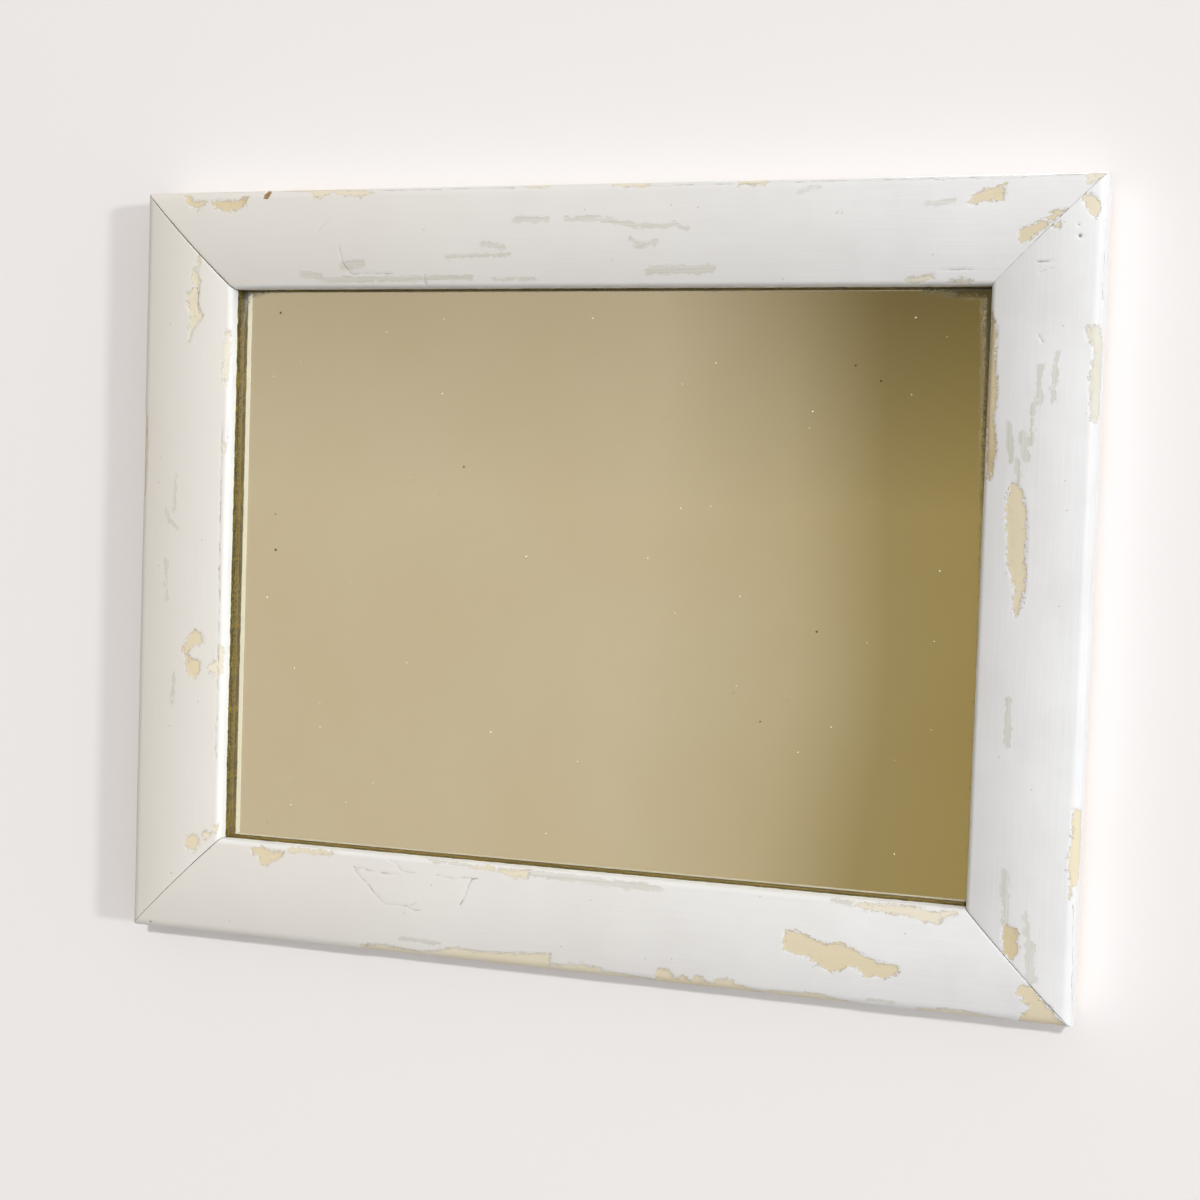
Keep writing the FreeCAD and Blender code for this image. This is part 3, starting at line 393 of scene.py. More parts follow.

# %% [markdown]
# ## Where the paint is worn
# The paint has come off in flakes where the frame was knocked and handled. Every flake was drawn as an outline
# on its rail: the first number is the place along the rail, the second the distance round the section from the
# back outer edge, both in millimetres. Before it stands its tone, from about 0 for deep cream to 1 and more where
# the cream is worn pale. Outlines are better than random noise here, because wear follows use: edges, corners and
# joints.

# %% Flakes
CHIPS = {
    "top": [
        (0.05, [(-225, 22.8), (-222.5, 28.2), (-219.5, 31.2), (-215.5, 31.8), (-213, 29.2), (-210.5, 27.2),
         (-212, 26.8), (-219, 26.8), (-221.5, 23.5)]),
        (-0.05, [(-208.5, 26.8), (-206, 30.8), (-201, 32.5), (-194.5, 33), (-190.5, 31.8), (-188.5, 28),
         (-186.5, 24.2), (-190, 26.2), (-194.5, 27.2), (-203, 26.5)]),
        (0.6, [(-176, 19.5), (-151, 22.5), (-149.5, 26.5), (-145.5, 27), (-143, 25), (-139, 23.5), (-132, 26),
         (-121.5, 26.2), (-115.5, 23.8), (-124.5, 21.5), (-149, 19.2)]),
        (0.8, [(-36, 18.5), (-34.5, 22), (-31, 23.8), (-28, 21.8), (-25, 24.2), (-21.5, 22.5), (-21, 18.5)]),
        (0.7, [(9, 18.5), (11, 23.5), (15, 22.2), (18, 25.2), (23, 23.2), (26, 25.2), (30.5, 23), (30.5, 18.5)]),
        (0.7, [(74, 18.5), (75.5, 24.5), (79, 23), (82, 26), (85, 23.6), (88, 25.5), (90, 22), (90, 18.5)]),
        (0.25, [(185.5, 35.5), (187.5, 31), (193.5, 28.5), (198.5, 27.8), (202, 25.8), (201.5, 34.2), (196, 34.5),
         (191, 35.5), (188, 37.2)]),
        (0.9, [(235.5, 19.2), (242.5, 20), (247, 19.2), (246.5, 23.5), (243, 25.8), (240.5, 28.2), (238, 26.8),
         (237.5, 23.5)]),
        (0.25, [(209, 52.5), (208.5, 47.5), (214.5, 45.5), (220, 44), (222, 40.5), (225.5, 39), (230.5, 38.2),
         (229, 40.5), (225, 43.5), (220, 47.8), (217.5, 49.8), (213, 53.2), (210.5, 54.2)]),
        (0.8, [(156.5, 72), (158, 69.5), (164, 69), (170, 67.5), (170.5, 69.8), (165.5, 72), (160.5, 72.8)]),
        (0.9, [(175.5, 72.8), (177, 70.8), (184, 70.2), (188.5, 71.2), (186, 72.8)]),
    ],
    "right": [
        (0.6, [(172, 47.2), (174.5, 41.8), (171.5, 42.2), (171, 45.2)]),
        (0.55, [(186.5, 32.8), (187, 29), (184.5, 26), (181, 24), (176, 25.5), (176.5, 28.5), (180, 30.8),
         (183, 32.8)]),
        (1.25, [(126.5, 29), (127.5, 21.8), (119, 18), (101, 14), (88, 17), (83.5, 20.8), (83.5, 25), (95, 26),
         (104.5, 26.6), (113, 25), (119.5, 26), (121, 28.8)]),
        (-0.03, [(134.5, 73), (125, 69), (111.5, 69.8), (97.5, 67.8), (83.5, 69), (69.5, 67), (55.5, 69.2),
         (55.5, 71.8), (93, 74.5), (125.5, 74.5)]),
        (0.4, [(54, 60.5), (55, 57.2), (51.5, 54.2), (42.5, 52), (28.5, 51), (19.5, 51.5), (8, 50.5), (1, 52),
         (-7.5, 54.5), (-5, 56.5), (5, 56), (12, 58.2), (19, 60.2), (30.5, 60.5), (39.5, 61.8)]),
        (0.4, [(-94, 25), (-95, 19), (-101, 13.5), (-109, 11), (-117, 9.5), (-124, 12), (-128, 15.5), (-131, 22.5),
         (-137, 24.8), (-126.5, 25.5), (-115, 26.2), (-109, 25.2), (-103, 25)]),
        (0, [(-151, 53.8), (-151, 49.2), (-155, 46.8), (-159, 47.5), (-161, 46.5), (-165, 48), (-167, 50.5),
         (-165, 53.2), (-160.5, 54.8), (-154.5, 55)]),
    ],
    "bottom": [
        (0.2, [(111.5, 51.2), (112.5, 55.5), (119, 55), (125, 52.8), (131.5, 50.2), (139, 51.8), (147, 48.8),
         (153.5, 46), (161, 44), (168, 43.2), (167, 39), (161.5, 36.5), (152, 36.5), (148, 39.8), (143.5, 40.8),
         (140, 38), (134.5, 36.8), (129, 40), (124, 42.8), (117, 44.2), (112, 45.2)]),
        (0.75, [(144, 72), (153, 72), (163.5, 72.5), (172.5, 72.5), (185, 70.5), (192, 73), (193.5, 70.5),
         (188, 67.8), (185.5, 64.5), (178, 65), (171, 67), (162.5, 67.2), (153.5, 68), (146.5, 69.5)]),
        (0.45, [(46.5, 16), (47.5, 25.2), (48.5, 28.8), (51.5, 29.8), (54.5, 29), (57, 26.8), (58.5, 24.8),
         (60.5, 26.5), (63.5, 26.5), (66, 24.8), (66.5, 27), (69.5, 28), (72, 27.2), (74, 25), (76, 24.2),
         (80, 27.2), (84, 28), (87, 27.2), (88, 25.2), (91, 25.8), (95, 24.2), (100.5, 23.5), (100.5, 16)]),
        (0.35, [(222, 37), (225, 40.8), (229.5, 40.8), (232.5, 37.2), (237.5, 31.8), (242, 26), (245, 22.2),
         (243, 16), (222, 16), (224.5, 25.5), (229, 30), (226, 32.8)]),
        (0.6, [(-75.5, 24.5), (-70, 26), (-65, 27.5), (-58, 28.8), (-46.5, 28.2), (-33, 28.8), (-21.5, 30),
         (-7, 30.8), (-7, 16), (-75.5, 16)]),
        (0.7, [(-7, 26), (-2, 25.5), (3, 27), (5.5, 26), (10, 27.5), (13, 26.5), (19, 26.8), (21, 24.8),
         (29.5, 24.2), (46, 22.5), (46, 16), (-7, 16)]),
        (0.6, [(-112.5, 24.5), (-98, 26.2), (-86, 24.8), (-76, 23.8), (-76, 16), (-112.5, 16)]),
        (0.6, [(100.5, 23.4), (113.5, 25), (132, 25), (138.5, 23.2), (150, 21), (150, 16), (100.5, 16)]),
        (0.8, [(176.5, 23.2), (187, 24.2), (199, 24.8), (216.5, 21.8), (222, 20), (222, 16), (176.5, 16)]),
        (0.15, [(-177.5, 70), (-172.5, 71.8), (-164.5, 69.2), (-158, 70), (-158.5, 66.5), (-163.5, 63.5),
         (-167, 61), (-172, 62.8), (-173, 66), (-177, 67.5)]),
        (0.5, [(-157.5, 71.8), (-150.5, 73), (-141, 72.2), (-130, 72.5), (-130.5, 70), (-138.5, 69.8),
         (-147.5, 69.5), (-155, 69.2)]),
        (0.6, [(-55, 70.8), (-44.5, 73.2), (-35.5, 71.5), (-28.5, 72.2), (-20, 72.2), (-21, 67.5), (-28, 67.2),
         (-35, 69.5), (-49, 70.2)]),
    ],
    "left": [
        (0.6, [(163.5, 54.8), (159, 53), (154, 50.5), (150, 50.8), (146.5, 52.8), (143.5, 48.8), (138.5, 48),
         (134, 49.5), (131, 51), (125.5, 49.8), (116.5, 50.5), (122.5, 52), (127.5, 55.5), (132.5, 58), (134, 55.5),
         (139, 54), (143.5, 55.2), (149, 55.5), (154, 54), (159, 55.8)]),
        (0.9, [(125.5, 70), (124, 72.8), (114.5, 73.8), (104.5, 72.5), (95, 71.8), (96, 69), (104.5, 68.2),
         (109.5, 69.2), (116, 68.5), (121, 69.5)]),
        (0.9, [(64, 68.8), (65.5, 71.2), (61.5, 72.5), (58.5, 70.5)]),
        (0.5, [(82, 19), (78, 24.6), (65, 25.6), (50, 25.2), (36, 24.4), (32, 19)]),
        (0.2, [(-38, 53.8), (-34.5, 57.2), (-36.5, 61.2), (-42, 62.2), (-43, 59.2), (-44, 55.8), (-47, 53.5),
         (-50, 55.8), (-50, 59.2), (-52, 61.2), (-56.5, 60.5), (-61, 58.2), (-59.5, 55.5), (-54.5, 52.2),
         (-50, 52.5), (-46.5, 50.2), (-42.5, 51)]),
        (0.8, [(-42.5, 70.2), (-44, 73), (-57, 74), (-59.5, 69), (-57, 65.5), (-53, 65.2), (-50, 68.8),
         (-46, 69.5)]),
        (0.4, [(-149, 54.5), (-145, 56.2), (-144, 60.8), (-147, 63), (-151, 62.2), (-153, 59.2), (-152, 55.5)]),
        (0.7, [(-145, 62.8), (-141, 64.8), (-142.5, 68), (-139, 69.5), (-139, 72.8), (-142.5, 71.8), (-144.5, 68.5),
         (-147, 65.5)]),
    ],
}
print(sum(map(len, CHIPS.values())), "flakes")

# %% [markdown]
# Where something rubbed along the frame, the white is worn thin and grey but not through. Each rubbed stroke is a
# half width and a middle line.

# %% Rubbed strokes
SCUFFS = {
    "top": [
        (1.7, [(-38.5, 39.8), (-21, 39.5)]),
        (1.4, [(-11, 40), (-0.5, 39.2), (13, 40.8), (27.5, 43.8), (38.5, 44.2), (45.5, 43), (51, 45.5)]),
        (1.6, [(-54.5, 51), (-44, 53)]),
        (1.1, [(-74.5, 57.2), (-41, 57)]),
        (2, [(-155, 65.8), (-145.5, 67.2)]),
        (1.6, [(-145.5, 68.8), (-100.5, 68.5), (-62, 68.2)]),
        (2.6, [(-131.5, 61.8), (-121.5, 60.2)]),
        (1.5, [(22.5, 50), (27.5, 53), (35.5, 51.5)]),
        (2.2, [(32.5, 65.5), (63.5, 64.8)]),
        (1, [(-49.5, 69), (-27.5, 69)]),
        (1.4, [(166, 35.5), (179, 34)]),
        (1.2, [(105.5, 28.5), (115.5, 26)]),
    ],
    "right": [
        (1.6, [(108, 48.5), (92, 48.2)]),
        (1.3, [(115, 41.2), (92, 42)]),
        (1.2, [(90.5, 50.5), (72.5, 50.8)]),
        (1.6, [(81.5, 61.8), (65, 60)]),
        (2, [(77, 55), (65.5, 53)]),
        (1.8, [(-126, 55), (-150, 53)]),
        (1.2, [(-144, 44.5), (-154.5, 43.2)]),
        (2.4, [(-158.5, 41.8), (-175.5, 40.5)]),
        (1.6, [(-46, 56.5), (-67, 56.2)]),
        (1.5, [(64.5, 57.2), (56, 56.2)]),
    ],
    "bottom": [
        (1.8, [(-20, 70.8), (1, 70), (17, 69.5), (48, 68.8)]),
        (1.3, [(-88.5, 30.2), (-67.5, 30.2)]),
        (1.6, [(135, 71.5), (142.5, 70.8)]),
        (1.6, [(37.5, 70.2), (47, 69.2)]),
        (1.2, [(153, 24.8), (165.5, 25.2)]),
        (1.2, [(-75.5, 72.5), (-53, 71.8)]),
    ],
    "left": [
        (0.9, [(47, 44.2), (27, 44)]),
        (1.1, [(29, 38.8), (23, 40.5), (19.5, 45.5)]),
        (1.2, [(-58.5, 45.8), (-73.5, 45.5)]),
        (1, [(1.5, 39.5), (-19.5, 40)]),
    ],
}
print(sum(map(len, SCUFFS.values())), "rubbed strokes")

# %% [markdown]
# Old paint cracks where the wood under it moves, and along ridges that the brush left. A nick is an outline that
# goes down to the wood, and a spot is a place and a radius.

# %% Cracks, nicks and spots
CRACKS = {
    "top": [
        [(-134, 51.5), (-131.5, 61.8), (-127, 66.2), (-122.5, 65.8), (-105, 65.8)],
        [(173.5, 66), (190.5, 65.8)],
        [(123.5, 39.5), (126, 37)],
        [(165.5, 21), (173.5, 24)],
        [(-145.5, 43.2), (-140.5, 39.2)],
        [(-87, 67.2), (-87, 71.8), (-85, 73.2)],
        # the two long lines near the top edge draw the thin grey line along the frame's top outline
        [(15.5, 23.5), (72.5, 23.2), (111.5, 22.8), (163.5, 22.8), (203.5, 23.2), (236, 21.5)],
        [(-115, 22.5), (-40, 22.5)],
    ],
    "right": [
        [(122.5, 49.5), (119.5, 48.2)],
        [(156, 52), (156.5, 44.8)],
        [(151, 50.5), (153, 44.2)],
        [(-176.5, 21), (-185.5, 18.5)],
        [(-139, 22.2), (-165, 21), (-184, 20)],
        [(139, 20.8), (175, 20.5)],
    ],
    "bottom": [
        [(-117.5, 65.2), (-111.5, 64.8), (-108, 64.2), (-101.5, 63.5), (-94.5, 64), (-91.5, 64)],
        [(-117, 65), (-112, 60.2), (-106.5, 55), (-98, 47.5), (-94, 47.8), (-87, 47.8), (-83, 46.8), (-78.5, 45.8)],
        [(-99, 71.5), (-93.5, 69.2), (-92, 66.8), (-90, 65.2), (-85.5, 65.2), (-83, 64.8)],
        [(-87, 47.5), (-80.5, 49.5)],
        [(-71, 65), (-62, 64.5), (-48.5, 65.5)],
        [(-51, 64.5), (-53.5, 58.2), (-56.5, 51.2)],
    ],
    "left": [
        [(170, 49.5), (163.5, 55.5)],
        [(146, 54.2), (134.5, 55)],
        [(77, 72.5), (64, 72.8)],
        [(75, 69.2), (24, 69.5), (-18.5, 70), (-71.5, 70), (-108, 70)],
    ],
}
NICKS = {"top": [[(-178.5, 26.5), (-177, 19.2), (-174.5, 22.2), (-175.5, 26.5)]]}
SPOTS = {
    "top": [(245.5, 24.8, 1.0)],
    "right": [(167.5, 33.2, 0.75), (172.5, 34, 0.3), (-186.5, 31.8, 0.4)],
    "bottom": [(-236, 24.2, 0.6)],
    "left": [(-166, 46.5, 0.4), (-191.5, 27.8, 0.5)],
}
print(sum(map(len, CRACKS.values())), "cracks,", sum(map(len, SPOTS.values())), "spots")

# %% [markdown]
# ## From outlines to the mesh
# Every vertex of a rail learns how far it is from the nearest flake, stroke or crack, and keeps that as an
# attribute that the shader reads. A distance changes evenly between vertices, so the shader can draw an edge
# that is much sharper than the mesh.

# %% Measure distances
FAR = 9.0  # millimetres


def runs(points, line):
    """For each straight run of a line: where its nearest point to each of some points is, as a share, and how far."""
    for start, end in zip(line, line[1:]):
        start, run = np.array(start), np.array(end) - np.array(start)
        share = np.clip((points - start) @ run / max(run @ run, 1e-9), 0, 1)
        yield share, np.hypot(*(points - start - share[:, None] * run).T)


def line_distance(points, line):
    """The distance from points to a line of several straight runs."""
    return np.min([distance for share, distance in runs(points, line)], axis=0)


def outline_distance(points, outline):
    """The distance to a closed outline, negative inside it."""
    inside = np.zeros(len(points), bool)
    outline = list(outline) + [outline[0]]
    for (x0, y0), (x1, y1) in zip(outline, outline[1:]):
        crosses = (points[:, 1] < y0) != (points[:, 1] < y1)
        inside ^= crosses & (points[:, 0] < x0 + (points[:, 1] - y0) * (x1 - x0) / ((y1 - y0) or 1e-9))
    return np.where(inside, -1, 1) * line_distance(points, outline)


def nearest(points, distances):
    """The least of several distances, or far where there is none."""
    return np.min([np.full(len(points), FAR), *distances], axis=0)


print("the middle of a square of 4 mm is", outline_distance(np.zeros((1, 2)), [(-2, -2), (2, -2), (2, 2), (-2, 2)]))

# %% [markdown]
# Round the section, a place is measured as with a tape: from the back outer edge up the side, over the face and
# down the lip. On the flat back it is counted the other way, below zero.

# %% A tape round the section
def arc(centre, radius, start, end, steps):
    """Points of the section on an arc, without its first."""
    angles = np.linspace(start, end, steps + 1)[1:]
    return centre + radius * np.column_stack([np.cos(angles), np.sin(angles)])


section_line = np.vstack([
    [(0, 0), (0, SIDE)],
    arc(round_centre, OUTER_ROUND, math.pi, tangent, STEPS["round"]),
    arc(crown_centre, CROWN, tangent, bearing(crown_centre, ARRIS), STEPS["crown"]),
    arc(lip_centre, LIP_ROUND, bearing(lip_centre, ARRIS), 0, STEPS["lip"]),
    [(WIDTH, REBATE_DEPTH), (WIDTH - REBATE_WIDTH, REBATE_DEPTH), (WIDTH - REBATE_WIDTH, 0)],
])
tape_marks = np.concatenate([[0], np.cumsum(np.hypot(*np.diff(section_line, axis=0).T))])
LIP_FOOT = tape_marks[-3]
PAINT_END = LIP_FOOT - 3.8


def tape(points):
    """The distance round the section of points given as distances in from the outer edge and up from the back."""
    best, mark = np.full(len(points), FAR), np.zeros(len(points))
    for index, (share, distance) in enumerate(runs(points, section_line)):
        closer = distance < best
        best[closer] = distance[closer]
        mark[closer] = (tape_marks[index] + share * (tape_marks[index + 1] - tape_marks[index]))[closer]
    on_back = points[:, 1] < 0.001
    mark[on_back] = -points[on_back, 0]
    return mark


print("lip's foot at", LIP_FOOT.round(1), "mm round the section, paint ends at", PAINT_END.round(1))

# %% [markdown]
# The distances are then kept on the mesh, one value a vertex. Cracks wander a little from their drawn lines, as
# paint does over grain, and a seed makes them wander the same way in every run. The paint stops short of the lip's
# foot, and laps over the back's outer edge by a millimetre.

# %% Keep the wear on each rail
WANDER, WANDER_SIZE, WANDER_SEED = 0.7, 4.0, 1
LAP = 1.0
noise.seed_set(WANDER_SEED)


def keep(mesh, name, kind, values):
    """Stores one value for each vertex as an attribute of the mesh."""
    field = "vector" if kind == "FLOAT_VECTOR" else "value"
    mesh.attributes.new(name, kind, "POINT").data.foreach_set(field, np.asarray(values, np.float32).ravel())


def lie(side):
    """Which axis runs along a rail, which across it, and how far out its outer edge is."""
    return (0, 2, OUTER_HALF["short"]) if side in ("top", "bottom") else (2, 0, OUTER_HALF["long"])


def read(vectors, field):
    """One vector of a mesh for each of its vertices, as rows of numbers."""
    rows = np.zeros(len(vectors) * 3)
    vectors.foreach_get(field, rows)
    return rows.reshape(-1, 3)


def mark_wear(side, rail):
    """Keeps each vertex's place on the rail and its distances to the wear as attributes, and returns them."""
    spots = read(rail.data.vertices, "co") / MM
    lengthwise, crosswise, outer = lie(side)
    along, up = spots[:, lengthwise], -spots[:, 1]
    mark = tape(np.column_stack([outer - np.abs(spots[:, crosswise]), up]))
    place = np.column_stack([along, mark])
    chips = np.array([outline_distance(place, shape) for tone, shape in CHIPS[side]])
    chip = nearest(place, chips)
    tone = np.array([tone for tone, shape in CHIPS[side]])[np.argmin(chips, axis=0)]
    scuff = nearest(place, [line_distance(place, line) - half for half, line in SCUFFS[side]])
    strayed = place + WANDER * np.array([noise.noise_vector(Vector(p) / WANDER_SIZE)[:2] for p in spots])
    crack = nearest(place, [line_distance(strayed, line) for line in CRACKS[side]])
    nick = nearest(place, [outline_distance(place, shape) for shape in NICKS.get(side, [])])
    spot = nearest(place, [np.hypot(along - x, mark - y) - radius for x, y, radius in SPOTS[side]])
    bare = np.minimum(np.minimum(PAINT_END - mark, mark + LAP), nick)
    keep(rail.data, "place", "FLOAT_VECTOR", np.column_stack([along, mark, up]) * MM)
    wear = {"chip": chip, "tone": tone, "scuff": scuff, "crack": crack, "bare": bare, "spot": spot}
    for name, values in wear.items():
        keep(rail.data, name, "FLOAT", values)
    return wear | {"mark": mark, "nick": nick}


worn = {side: mark_wear(side, rail) for side, rail in rails.items()}
print(len(rails), "rails keep", ", ".join(worn["top"]))

# %% [markdown]
# Light catches the broken edge of a flake only if it is really lower, so the wear is also pressed into the mesh,
# by the depth of the paint. The coat is a little uneven all over, and sinks into the open joints. On the back,
# corrugated fasteners were hammered in across the joints, and the wood round them is dented.

# %% Press the wear into each rail
PAINT_DEPTH, CRACK_DEPTH, SPOT_DEPTH, NICK_DEPTH = 0.28, 0.25, 0.6, 0.7
FLAKE_EDGE, CRACK_REACH, JOINT_REACH = 0.8, 0.7, 0.9
UNEVEN, UNEVEN_SIZES = 0.12, (28.0, 9.0)
JOINT_SINK = {(-1, 1): 0.35, (1, 1): 0.03, (-1, -1): 0.15, (1, -1): 0.20}
DENT, DENT_REACH, DENT_SLOPE = 0.4, 4.0, 3.0
fastener_points = {(round(v.co.x / MM, 1), round(v.co.z / MM, 1)) for name, node in nodes.items()
                   if name.endswith("_fasteners") for v in node.data.vertices}


def press_wear(side, rail, wear):
    """Presses flakes, cracks, spots, nicks, the uneven coat and the dents into a rail's mesh."""
    mesh = rail.data
    spots, normals = read(mesh.vertices, "co") / MM, read(mesh.vertex_normals, "vector")
    normals[:, lie(side)[0]] = 0
    normals /= np.linalg.norm(normals, axis=1)[:, None].clip(1e-6)
    face = (wear["mark"] > LAP) & (wear["mark"] < PAINT_END)
    coarse, fine = UNEVEN_SIZES
    uneven = np.array([noise.noise(Vector(p) / coarse) + 0.4 * noise.noise(Vector(p) / fine) for p in spots])
    joint = np.abs(OUTER_HALF["long"] - np.abs(spots[:, 0]) - OUTER_HALF["short"] + np.abs(spots[:, 2]))
    sink = PAINT_DEPTH * np.clip(0.5 - wear["chip"] / FLAKE_EDGE, 0, 1)
    sink = sink + CRACK_DEPTH * np.clip(1 - wear["crack"] / CRACK_REACH, 0, 1)
    sink += (SPOT_DEPTH * np.clip(0.5 - wear["spot"], 0, 1) + NICK_DEPTH * np.clip(-wear["nick"], 0, 1)
             + UNEVEN * (1 + uneven))
    sunk = np.array([JOINT_SINK[(1 if x > 0 else -1, 1 if z > 0 else -1)] for x, y, z in spots])
    sink += sunk * np.clip(1 - joint / JOINT_REACH, 0, 1) ** 2
    struck = np.min([np.hypot(spots[:, 0] - x, spots[:, 2] - z) for x, z in fastener_points], axis=0)
    dent = DENT * np.clip((DENT_REACH - struck) / DENT_SLOPE, 0, 1) * (wear["mark"] < 0)
    spots -= normals * (sink * face + dent)[:, None]
    mesh.vertices.foreach_set("co", (spots * MM).ravel())
    mesh.update()
    print(rail.name, "flaked on", round(100 * np.mean(wear["chip"][face] < 0), 1), "percent of its face")


for side, rail in rails.items():
    press_wear(side, rail, worn[side])

# %% [markdown]
# ## Old oil paint on pine
# The rails are softwood under two coats of oil paint: cream first, white last, brushed along the rail. Oil paint
# that old is hard, so it flakes with crisp, ragged edges and shows the cream coat. It has a low satin gloss,
# faint brush lines, grey-green rubs and a little grime. The foot of the lip was never painted, and is dark with
# dirt and old polish. The back is raw wood.
# Distances in the attributes are in millimetres, so ragged edges are made by adding a few tenths of noise.

# %% Ragged edges of the flakes
painted_pine, put = new_material("old_white_oil_paint_on_pine")
spot = put("TexCoord", out="Object")
place = put("Attribute", out="Vector", attribute_name="place")
wear = {name: put("Attribute", out="Fac", attribute_name=name)
        for name in ("chip", "tone", "scuff", "crack", "bare", "spot")}
# ragged edges: torn lumps of 4 by 2 mm along the rail, with a nibbled edge of 1 mm
torn = put("VectorMath", {0: place, 1: (250.0, 500.0, 500.0)}, operation="MULTIPLY")
lumps = put("TexNoise", {"Vector": torn, "Scale": 1.0, "Detail": 5.0, "Roughness": 0.65})
scallops = put("TexVoronoi", {"Vector": torn, "Scale": 1.3}, out="Distance")
nibbles = put("TexNoise", {"Vector": spot, "Scale": 800.0, "Detail": 2.0, "Roughness": 0.6})
ragged = put("Math", {0: lumps, 1: 6.5, 2: wear["chip"]}, operation="MULTIPLY_ADD")
ragged = put("Math", {0: scallops, 1: 1.2, 2: ragged}, operation="MULTIPLY_ADD")
ragged = put("Math", {0: nibbles, 1: 5.0, 2: ragged}, operation="MULTIPLY_ADD")
flaked = put("MapRange", {"Value": ragged, 1: 6.20, 2: 6.00})
print(painted_pine.name, "reads", ", ".join(wear))

# %% [markdown]
# Brushed paint keeps the lines of the brush, which a noise draws that is stretched along the rail. Clouds of a
# larger noise keep the white from being one flat colour. The left of the frame, away from the window, is painted
# warmer and darker, as painted shade. Near the glass the white is painted brighter, as painted light that the
# mirror throws back onto the lip.

# %% White coat
# brush lines: 40 mm long and 0.9 mm wide, along the rail, and clouds of 50 mm
stretched = put("VectorMath", {0: place, 1: (25.0, 1100.0, 1100.0)}, operation="MULTIPLY")
brushed = put("TexNoise", {"Vector": stretched, "Scale": 1.0, "Detail": 3.0, "Roughness": 0.55})
clouds = put("TexNoise", {"Vector": spot, "Scale": 20.0, "Detail": 4.0, "Roughness": 0.6})
mottle = put("Math", {0: brushed, 1: 0.4, 2: clouds}, operation="MULTIPLY_ADD")
white = put("ValToRGB", {0: mottle}, stops=((0.48, "#E1E0E1"), (0.70, "#E6E6E7"), (0.92, "#EBEBEC")))
# painted shade: the left of the frame, away from the window, is painted warmer and darker than the window's side
across = put("SeparateXYZ", {0: spot}, out="X")
shaded_left = put("MapRange", {"Value": across, 1: 0.25, 2: -0.25})
white = put("Mix", {0: shaded_left, 6: white, 7: colour("#DFDAD2")}, **COLOURS)
tape_mark = put("SeparateXYZ", {0: place}, out="Y")
# painted light: near the glass the white is painted brighter, for the light that the mirror throws back onto the lip
clean = put("MapRange", {"Value": tape_mark, 1: (PAINT_END - 9) * MM, 2: (PAINT_END - 6) * MM})
white = put("Mix", {0: clean, 6: white, 7: colour("#EFEEEC")}, **COLOURS)
print("white coat,", len(painted_pine.node_tree.nodes), "nodes so far")

# %% [markdown]
# The cream coat shows in the flakes, each in its own tone. A rubbed stroke only thins the white, so the strokes are
# mixed in first and the flakes lie over them.

# %% Cream coat and rubbed strokes
# cream by each flake's own tone, a little clouded, with brown streaks
tone = put("Math", {0: clouds, 1: 0.5, 2: wear["tone"]}, operation="MULTIPLY_ADD")
tone = put("MapRange", {"Value": tone, 1: 0.0, 2: 1.5})
cream = put("ValToRGB", {0: tone}, stops=(
    (0.0, "#AD9264"), (0.17, "#DBCBA7"), (0.5, "#E2D7BD"), (0.83, "#E7E1D2"), (1.0, "#D8D5C8")))
streaks = put("MapRange", {"Value": lumps, 1: 0.58, 2: 0.78, 3: 0.0, 4: 0.4})
cream = put("Mix", {0: streaks, 6: cream, 7: colour("#BFA273")}, **COLOURS)
# rubbed strokes, broken up along the brush lines
rubbed = put("Math", {0: lumps, 1: 7.0, 2: wear["scuff"]}, operation="MULTIPLY_ADD")
rubbed = put("MapRange", {"Value": rubbed, 1: 3.7, 2: 3.1, 3: 0.0, 4: 1.0})
broken = put("MapRange", {"Value": brushed, 1: 0.35, 2: 0.62, 3: 0.25, 4: 0.75})
rubbed = put("Math", {0: rubbed, 1: broken}, operation="MULTIPLY")
coat = put("Mix", {0: rubbed, 6: white, 7: colour("#C6C3B5")}, **COLOURS)
coat = put("Mix", {0: flaked, 6: coat, 7: cream}, **COLOURS)
print("cream coat,", len(painted_pine.node_tree.nodes), "nodes so far")

# %% [markdown]
# Dirt gathers where a surface is broken: in cracks and in small pits. Along the edge of each flake, where the paint
# steps down, a darker line is painted shade. A clean dark line would look drawn, so a slow noise fades these in and
# out.

# %% Painted shade at flake edges, dirt in cracks and pits
# painted shade along the broken edge of a flake, where the paint steps down, in patches of 11 mm
patchy = put("TexNoise", {"Vector": spot, "Scale": 90.0, "Detail": 2.0})
patchy = put("MapRange", {"Value": patchy, 1: 0.38, 2: 0.62, 3: 0.2, 4: 1.0})
flake_step_shade = put("Math", {0: ragged, 1: 6.05}, operation="SUBTRACT")
flake_step_shade = put("Math", {0: flake_step_shade}, operation="ABSOLUTE")
flake_step_shade = put("MapRange", {"Value": flake_step_shade, 1: 0.45, 2: 0.15, 3: 0.0, 4: 0.40})
flake_step_shade = put("Math", {0: flake_step_shade, 1: patchy}, operation="MULTIPLY")
coat = put("Mix", {0: flake_step_shade, 6: coat, 7: colour("#A8987A")}, **COLOURS)
cracked = put("Math", {0: lumps, 1: 1.0, 2: wear["crack"]}, operation="MULTIPLY_ADD")
cracked = put("MapRange", {"Value": cracked, 1: 1.00, 2: 0.60, 3: 0.0, 4: 0.75})
cracked = put("Math", {0: cracked, 1: patchy}, operation="MULTIPLY")
coat = put("Mix", {0: cracked, 6: coat, 7: colour("#8D8779")}, **COLOURS)
dotted = put("MapRange", {"Value": wear["spot"], 1: 0.35, 2: -0.1, 3: 0.0, 4: 0.8})
coat = put("Mix", {0: dotted, 6: coat, 7: colour("#6F675A")}, **COLOURS)
